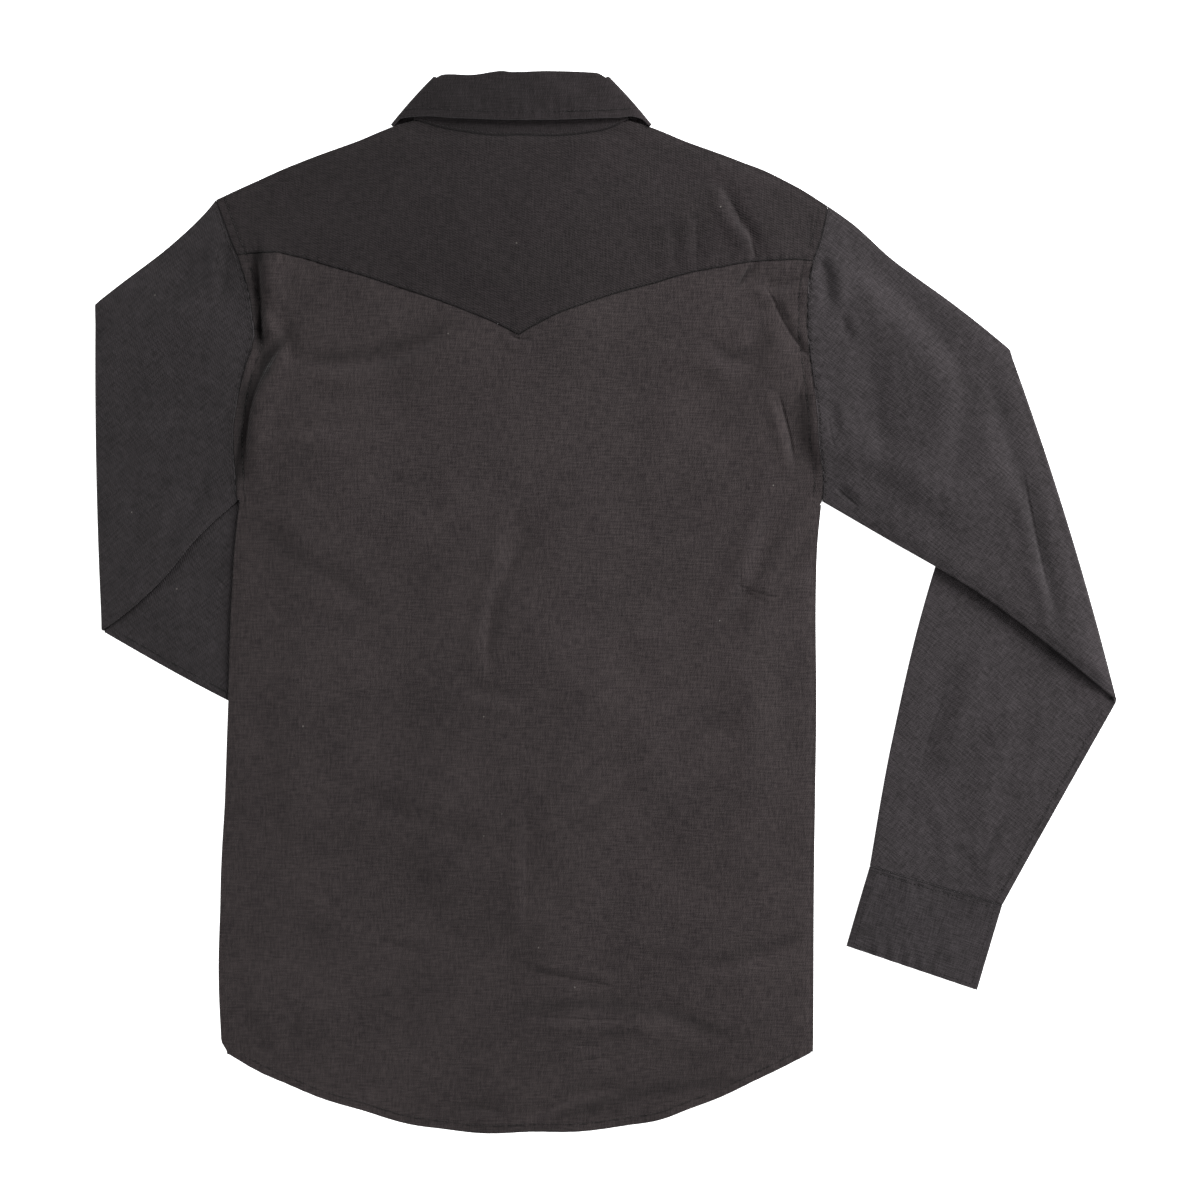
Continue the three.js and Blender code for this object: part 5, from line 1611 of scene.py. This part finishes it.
def darkening(tree, place):
    """How much painted shade darkens the cloth in folds, in joints and in the needle's groove."""
    near, hemmed, folded = (
        add(tree, "ShaderNodeAttribute", attribute_name=name).outputs["Fac"]
        for name in ("near_seam", "near_edge", "shade")
    )
    # Painted shade: a dark line in the joint of two panels, and a dashed one along the needle's groove.
    joint = ranged(tree, near, NEAR - 1.15, NEAR - 0.65, 0.55)
    groove = calc(tree, "COMPARE", hemmed, NEAR - TOPSTITCH, 0.8)
    uneven = ranged(tree, noise(tree, 170.0, 1.0, Vector=place), 0.42, 0.62, 0.5, soft=False)
    return calc(tree, "ADD", calc(tree, "MULTIPLY_ADD", groove, uneven, folded), joint)


def lint_share(tree, weave):
    """1 on a few scattered specks of lint and 0 elsewhere."""
    inputs = {"Vector": weave, "Scale": LINT_PER_METRE, "Randomness": 1.0}
    cells = add(tree, "ShaderNodeTexVoronoi", inputs)
    near_centre = ranged(tree, cells.outputs["Distance"], 0.06, 0.02, 0.6, soft=False)
    rare = add(tree, "ShaderNodeSeparateColor", {"Color": cells.outputs["Color"]})
    return calc(tree, "MULTIPLY", near_centre, calc(tree, "GREATER_THAN", rare.outputs[0], 0.95))


def twill(name, dark, pale, left_light_share=1.0, right_light_share=1.0, lines=FRONT_LINES):
    """Twill between a dark and a pale yarn colour. The shares are painted light and shade: they darken or
    lighten it towards the left and the right.
    """
    material, tree = new_material(name)
    weave = add(tree, "ShaderNodeUVMap", uv_map="weave").outputs[0]
    place = add(tree, "ShaderNodeTexCoord").outputs["Object"]
    turned = add(tree, "ShaderNodeMapping", {"Vector": weave, "Rotation": (0, 0, RIB_TURN)})
    waves = {"Vector": turned.outputs[0], "Scale": WAVE_PER_UNIT / RIB_PITCH}
    waves |= {"Distortion": 2.2, "Detail": 2.0, "Detail Scale": 1.6}
    rib = add(tree, "ShaderNodeTexWave", waves).outputs[1]
    slub = yarn_tones(tree, weave)
    washed = noise(tree, 22.0, 4.0, Vector=place, Roughness=0.6)
    tone = calc(tree, "MULTIPLY_ADD", slub, 2.2, washed)
    ribbed = calc(tree, "MULTIPLY_ADD", rib, 0.1, tone)
    share = ranged(tree, ribbed, 2.13, 3.37, soft=False)
    cloth = mixed(tree, share, linear(dark), linear(pale))
    lies = add(tree, "ShaderNodeSeparateXYZ", {"Vector": place})
    # Painted light and shade: the cloth darker to the left and lighter to the right, as the key light falls.
    painted_side_shade = ranged(tree, lies.outputs[0], SHADE_RAMP_LEFT, SHADE_RAMP_RIGHT, right_light_share, left_light_share)
    painted_light_and_shade = calc(tree, "MULTIPLY", painted_side_shade, calc(tree, "SUBTRACT", 1.0, darkening(tree, place)))
    shaded = add(tree, "ShaderNodeVectorMath", {0: cloth, "Scale": painted_light_and_shade}, operation="SCALE").outputs[0]
    dusted = mixed(tree, lint_share(tree, weave), shaded, linear("#6e6a66"))
    height = calc(tree, "MULTIPLY_ADD", slub, 3.0, rib)
    creased = {"Height": line_height(tree, place, lines), "Distance": MM}
    pressed = add(tree, "ShaderNodeBump", creased, invert=True).outputs[0]
    threads = {"Height": height, "Strength": 0.4, "Distance": 0.0005, "Normal": pressed}
    bump = add(tree, "ShaderNodeBump", threads).outputs[0]
    surface = {"Base Color": dusted, "Normal": bump, "Roughness": 0.92, "Specular IOR Level": 0.18}
    surface |= {"Sheen Weight": 0.1, "Sheen Roughness": 0.45, "IOR": 1.5}
    shader = add(tree, "ShaderNodeBsdfPrincipled", surface)
    add(tree, "ShaderNodeOutputMaterial", {"Surface": shader.outputs[0]})
    return material


# Each piece's two shares paint shade darker to its left, away from the key light, and set how dark the piece
# is as a whole.
BACK_TWILL = twill("washed_cotton_twill_back", "#1e191a", "#332d2d", 0.94, 1.0, BACK_LINES)
FRONT_TWILL = twill("washed_cotton_twill_fronts", "#1e191a", "#332d2d")
YOKE_TWILL = twill("washed_cotton_twill_yoke", "#1e191a", "#332d2e", 0.49, 0.66, YOKE_LINES)
SLEEVE_TWILL = twill("washed_cotton_twill_sleeve", "#1d1a1b", "#322e30", 0.73, 1.1, SLEEVE_LINES)
CUFF_TWILL = twill("washed_cotton_twill_cuff", "#1d1a1b", "#322e30", 0.95, 1.0)
COLLAR_TWILL = twill("washed_cotton_twill_collar", "#1e191a", "#322c2e", 0.39, 0.72)

# %% [markdown]
# ## Stitches
# Topstitching is what makes the shirt read as sewn. Each stitch is a short tapered piece of
# thread that lies on the cloth and dives into it at both ends. A ray finds the cloth under each
# place of a seam's line, so the thread follows every pucker.

# %% Stitches
STITCH = 2.6
STITCH_GAP = 0.9
THREAD = 0.27
PROBE = 60.0


def surface_finder(piece):
    mesh = piece.data
    corners = np.empty(len(mesh.vertices) * 3)
    mesh.vertices.foreach_get("co", corners)
    polygons = [polygon.vertices[:] for polygon in mesh.polygons]
    tree = BVHTree.FromPolygons([Vector(c) for c in corners.reshape(-1, 3)], polygons)

    def find(u, v, above):
        way = 1 if above else -1
        start = Vector(((u - MIDDLE_U) * MM, (v - MIDDLE_V) * MM, way * PROBE * MM))
        hit, normal, _, _ = tree.ray_cast(start, Vector((0, 0, -way)))
        return hit, normal

    return find


def sew(name, find, lines, above=True):
    """Stitches along lines of u and v, as one mesh."""
    vertices, faces = [], []
    for line in lines:
        line = np.array(line, float)
        reach = np.r_[0, np.cumsum(np.hypot(*np.diff(line, axis=0).T))]
        for start in np.arange(0, reach[-1] - STITCH, STITCH + STITCH_GAP):
            (a, up), (b, _) = (
                find(np.interp(at, reach, line[:, 0]), np.interp(at, reach, line[:, 1]), above)
                for at in (start, start + STITCH)
            )
            if a is None or b is None or (a - b).length > 2 * STITCH * MM:
                continue
            along = (b - a).normalized()
            side_way = along.cross(up).normalized()
            base = len(vertices)
            sunk = up * THREAD * MM * 0.5
            vertices.append(a - sunk)
            for share in (0.22, 0.78):
                middle = a.lerp(b, share) + up * THREAD * MM * 0.35
                for across_way, lift in ((1, 0), (0, 1), (-1, 0), (0, -1)):
                    vertices.append(middle + (side_way * across_way + up * lift) * THREAD * MM)
            vertices.append(b - sunk)
            for k in range(4):
                m = (k + 1) % 4
                faces.append((base, base + 1 + m, base + 1 + k))
                faces.append((base + 1 + k, base + 1 + m, base + 5 + m, base + 5 + k))
                faces.append((base + 9, base + 5 + k, base + 5 + m))
    mesh = bpy.data.meshes.new(name)
    mesh.from_pydata(vertices, [], faces)
    mesh.shade_smooth()
    piece = bpy.data.objects.new(name, mesh)
    bpy.context.scene.collection.objects.link(piece)
    print(name, "stitches:", len(vertices) // 10)
    return piece


# %% [markdown]
# ## Dress the parts
# Each shell now gets its cloth, rides on the shirt's one body and stands for its solid.

# %% Thread
thread_material, tree = new_material("polyester_thread_spun")
thread_tone = mixed(tree, noise(tree, 900.0, 2.0), linear("#0f0d0d"), linear("#211d1d"))
thread_surface = {"Base Color": thread_tone, "Roughness": 0.7, "Specular IOR Level": 0.3}
thread_shader = add(tree, "ShaderNodeBsdfPrincipled", thread_surface)
add(tree, "ShaderNodeOutputMaterial", {"Surface": thread_shader.outputs[0]})

# %% Snap enamel
snap_material, tree = new_material("black_enamel_on_brass")
grain = noise(tree, 700.0, 3.0)
wear = ranged(tree, grain, 0.0, 1.0, 0.42, 0.28, soft=False)
enamel = mixed(tree, grain, linear("#1d1b1c"), linear("#2a2727"))
dent = add(tree, "ShaderNodeBump", {"Height": grain, "Strength": 0.1, "Distance": 0.0001}).outputs[0]
enamelled = {"Base Color": enamel, "Roughness": wear, "Normal": dent, "Metallic": 0.0}
snap_shader = add(tree, "ShaderNodeBsdfPrincipled", enamelled)
add(tree, "ShaderNodeOutputMaterial", {"Surface": snap_shader.outputs[0]})
for node_name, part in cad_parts.items():
    if node_name.startswith("snap_"):
        part.data.materials.clear()
        part.data.materials.append(snap_material)

# %% Lines of stitching
HEM_STITCH = 6.5
YOKE_STITCH = 2.2
WELT = 2.2

hem_u = np.linspace(-222, 222, 400)
hem_line = np.stack([hem_u, hem(hem_u) + HEM_STITCH], -1)
yoke_u = np.linspace(-222, 228, 400)
yoke_line = np.stack([yoke_u, yoke_seam(yoke_u) + YOKE_STITCH], -1)
hole_lines = {"left": shifted(left_hole, TOPSTITCH), "right": shifted(right_hole, -TOPSTITCH)}
leaf_u = np.linspace(-96, 96, 160)
leaf_line = np.stack([leaf_u, leaf_edge(leaf_u) + HEM_STITCH], -1)
stand_line = shifted(neck_line, 1.8)


def sew_on(name, piece, lines, above=True):
    return sew(name + "_stitching", surface_finder(piece), lines, above)


def cuff_lines(which):
    """A line just inside a cuff's four edges."""
    corners = [np.array(corner, float) for corner in cuff_shape(which)]
    centre = sum(corners) / 4
    ring = [corner + (centre - corner) * 0.1 for corner in corners]
    return [np.linspace(ring[i], ring[(i + 1) % 4], 60) for i in range(4)]


def forearm_line(which):
    outward = SLEEVES[which]["outward"]
    return shifted(flow(SLEEVES[which]["forearm_low"], 120), -6.3 * outward)[8:-2]


def front_lines(which):
    """On the underside: a front's armhole, its yoke's seam and its hem."""
    sign = 1 if which == "left" else -1
    across_u = sign * np.linspace(-205, -90, 60)
    hem_part = sign * np.linspace(-190, -30, 90)
    yoke_part = np.stack([across_u, shoulder(across_u) - FRONT_YOKE - 3.0], -1)
    return [hole_lines[which][20:], yoke_part, np.stack([hem_part, front_hem(hem_part) + HEM_STITCH], -1)]


placket_v = np.linspace(-90, -770, 300)
placket_lines = [np.stack([placket_edge(placket_v, where), placket_v], -1) for where in (-0.75, 0.75)]

back_stitching = sew_on("back", back, [hem_line, *[line[line[:, 1] < -106] for line in hole_lines.values()]])
yoke_stitching = sew_on("yoke", yoke, [yoke_line, *[line[line[:, 1] > -92] for line in hole_lines.values()]])
leaf_stitching = sew_on("collar_leaf", leaf, [leaf_line])
stand_stitching = sew_on("collar_stand", stand, [stand_line])
beside_holes = {"left": shifted(left_hole, -WELT), "right": shifted(right_hole, WELT)}
sleeve_right_stitching = sew_on("sleeve_right", sleeve_right, [forearm_line("right"), beside_holes["right"]])
sleeve_left_stitching = sew_on("sleeve_left", sleeve_left, [forearm_line("left"), beside_holes["left"]])
cuff_right_stitching = sew_on("cuff_right", cuff_right, cuff_lines("right"))
cuff_left_stitching = sew_on("cuff_left", cuff_left, cuff_lines("left"), above=False)
front_left_stitching = sew_on("front_left", front_left, front_lines("left"), above=False)
front_right_stitching = sew_on("front_right", front_right, front_lines("right"), above=False)
placket_stitching = sew_on("placket", placket, placket_lines, above=False)

# %% [markdown]
# ## Painted shade along the seams
# The light goes into the joint of two panels and doesn't come back, and the needle pulls a groove
# along its stitches. Both are far finer than the cloth's mesh, so each point only holds how near
# it is to the seam, and the twill's material paints the shade of the joint and of the groove from that.

# %% Near the seams
yoke_joint = np.stack([yoke_u, yoke_seam(yoke_u)], -1)[::3]
holes = left_hole[::3], right_hole[::3]
CUFF_STITCH = 2.8
HEM_GROOVE = 8.0
LEAF_GROOVE = 7.5
SLEEVE_GROOVE = 1.5

mark_seams(yoke, "near_seam", yoke_joint, neck_line[::3], *holes)
mark_seams(yoke, "near_edge", *holes)
mark_seams(back, "near_seam", yoke_joint, *holes)
mark_seams(back, "near_edge", hem_line[::3] - (0, HEM_GROOVE), *holes)
mark_seams(stand, "near_seam", neck_line[::3])
mark_seams(leaf, "near_edge", leaf_line[::3] - (0, LEAF_GROOVE))
for which, arm, cuff, hole in (
    ("left", sleeve_left, cuff_left, left_hole),
    ("right", sleeve_right, cuff_right, right_hole),
):
    sleeve = SLEEVES[which]
    joint = np.array([sleeve["forearm_top"][-1], sleeve["forearm_low"][-1]], float)
    ahead = joint - np.array(sleeve["cuff_end"], float)
    beyond_joint = joint + ahead / np.linalg.norm(ahead[0]) * (TOPSTITCH - CUFF_STITCH)
    mark_seams(arm, "near_seam", hole[::3], joint)
    low_edge = flow(sleeve["forearm_low"], 40)
    mark_seams(arm, "near_edge", shifted(low_edge, SLEEVE_GROOVE * sleeve["outward"]))
    mark_seams(cuff, "near_seam", joint)
    mark_seams(cuff, "near_edge", beyond_joint)
print("twill marked along its seams")

# %% Ride and replace
# Columns: piece, CAD node, twill, cut width and length in metres, its flat area, what it lies on, stitching
ON_FRONTS = ["front_right", "front_left"]
PIECES = (
    (yoke, "yoke", YOKE_TWILL, (0.49, 0.21), 0.061, ON_FRONTS, [yoke_stitching, neck_seam]),
    (back, "back", BACK_TWILL, (0.56, 0.70), 0.34, ON_FRONTS, [back_stitching]),
    (front_left, "front_left", FRONT_TWILL, (0.25, 0.72), 0.129, ["floor"], [front_left_stitching]),
    (front_right, "front_right", FRONT_TWILL, (0.26, 0.72), 0.168, ["placket"], [front_right_stitching]),
    (placket, "placket", FRONT_TWILL, (0.034, 0.71), 0.024, ["floor"], [placket_stitching]),
    (
        sleeve_left, "sleeve_left", SLEEVE_TWILL, (0.50, 0.62), 0.185, ["floor"],
        [sleeve_left_stitching, armhole_left_seam],
    ),
    (
        sleeve_right, "sleeve_right", SLEEVE_TWILL, (0.50, 0.62), 0.18, ["floor"],
        [sleeve_right_stitching, armhole_right_seam],
    ),
    (
        cuff_left, "cuff_left", SLEEVE_TWILL, (0.22, 0.07), 0.0145, ["floor"],
        [cuff_left_stitching, cuff_left_seam],
    ),
    (
        cuff_right, "cuff_right", CUFF_TWILL, (0.22, 0.07), 0.0145, ["floor"],
        [cuff_right_stitching, cuff_right_seam],
    ),
    (stand, "collar_stand", COLLAR_TWILL, (0.46, 0.05), 0.014, ["collar_leaf"], [stand_stitching]),
    (leaf, "collar_leaf", COLLAR_TWILL, (0.46, 0.08), 0.024, ["floor"], [leaf_stitching]),
)  # fmt: skip

for piece, node_name, cloth_twill, cut, area, rests_on, sewn_on in PIECES:
    piece.data.materials.append(cloth_twill)
    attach(piece, "root")
    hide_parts(node_name)
    for added in sewn_on:
        added.data.materials.append(thread_material if added.name.endswith("stitching") else cloth_twill)
        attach(added, "root")
    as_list(rests_on)
    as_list(sewn_on)
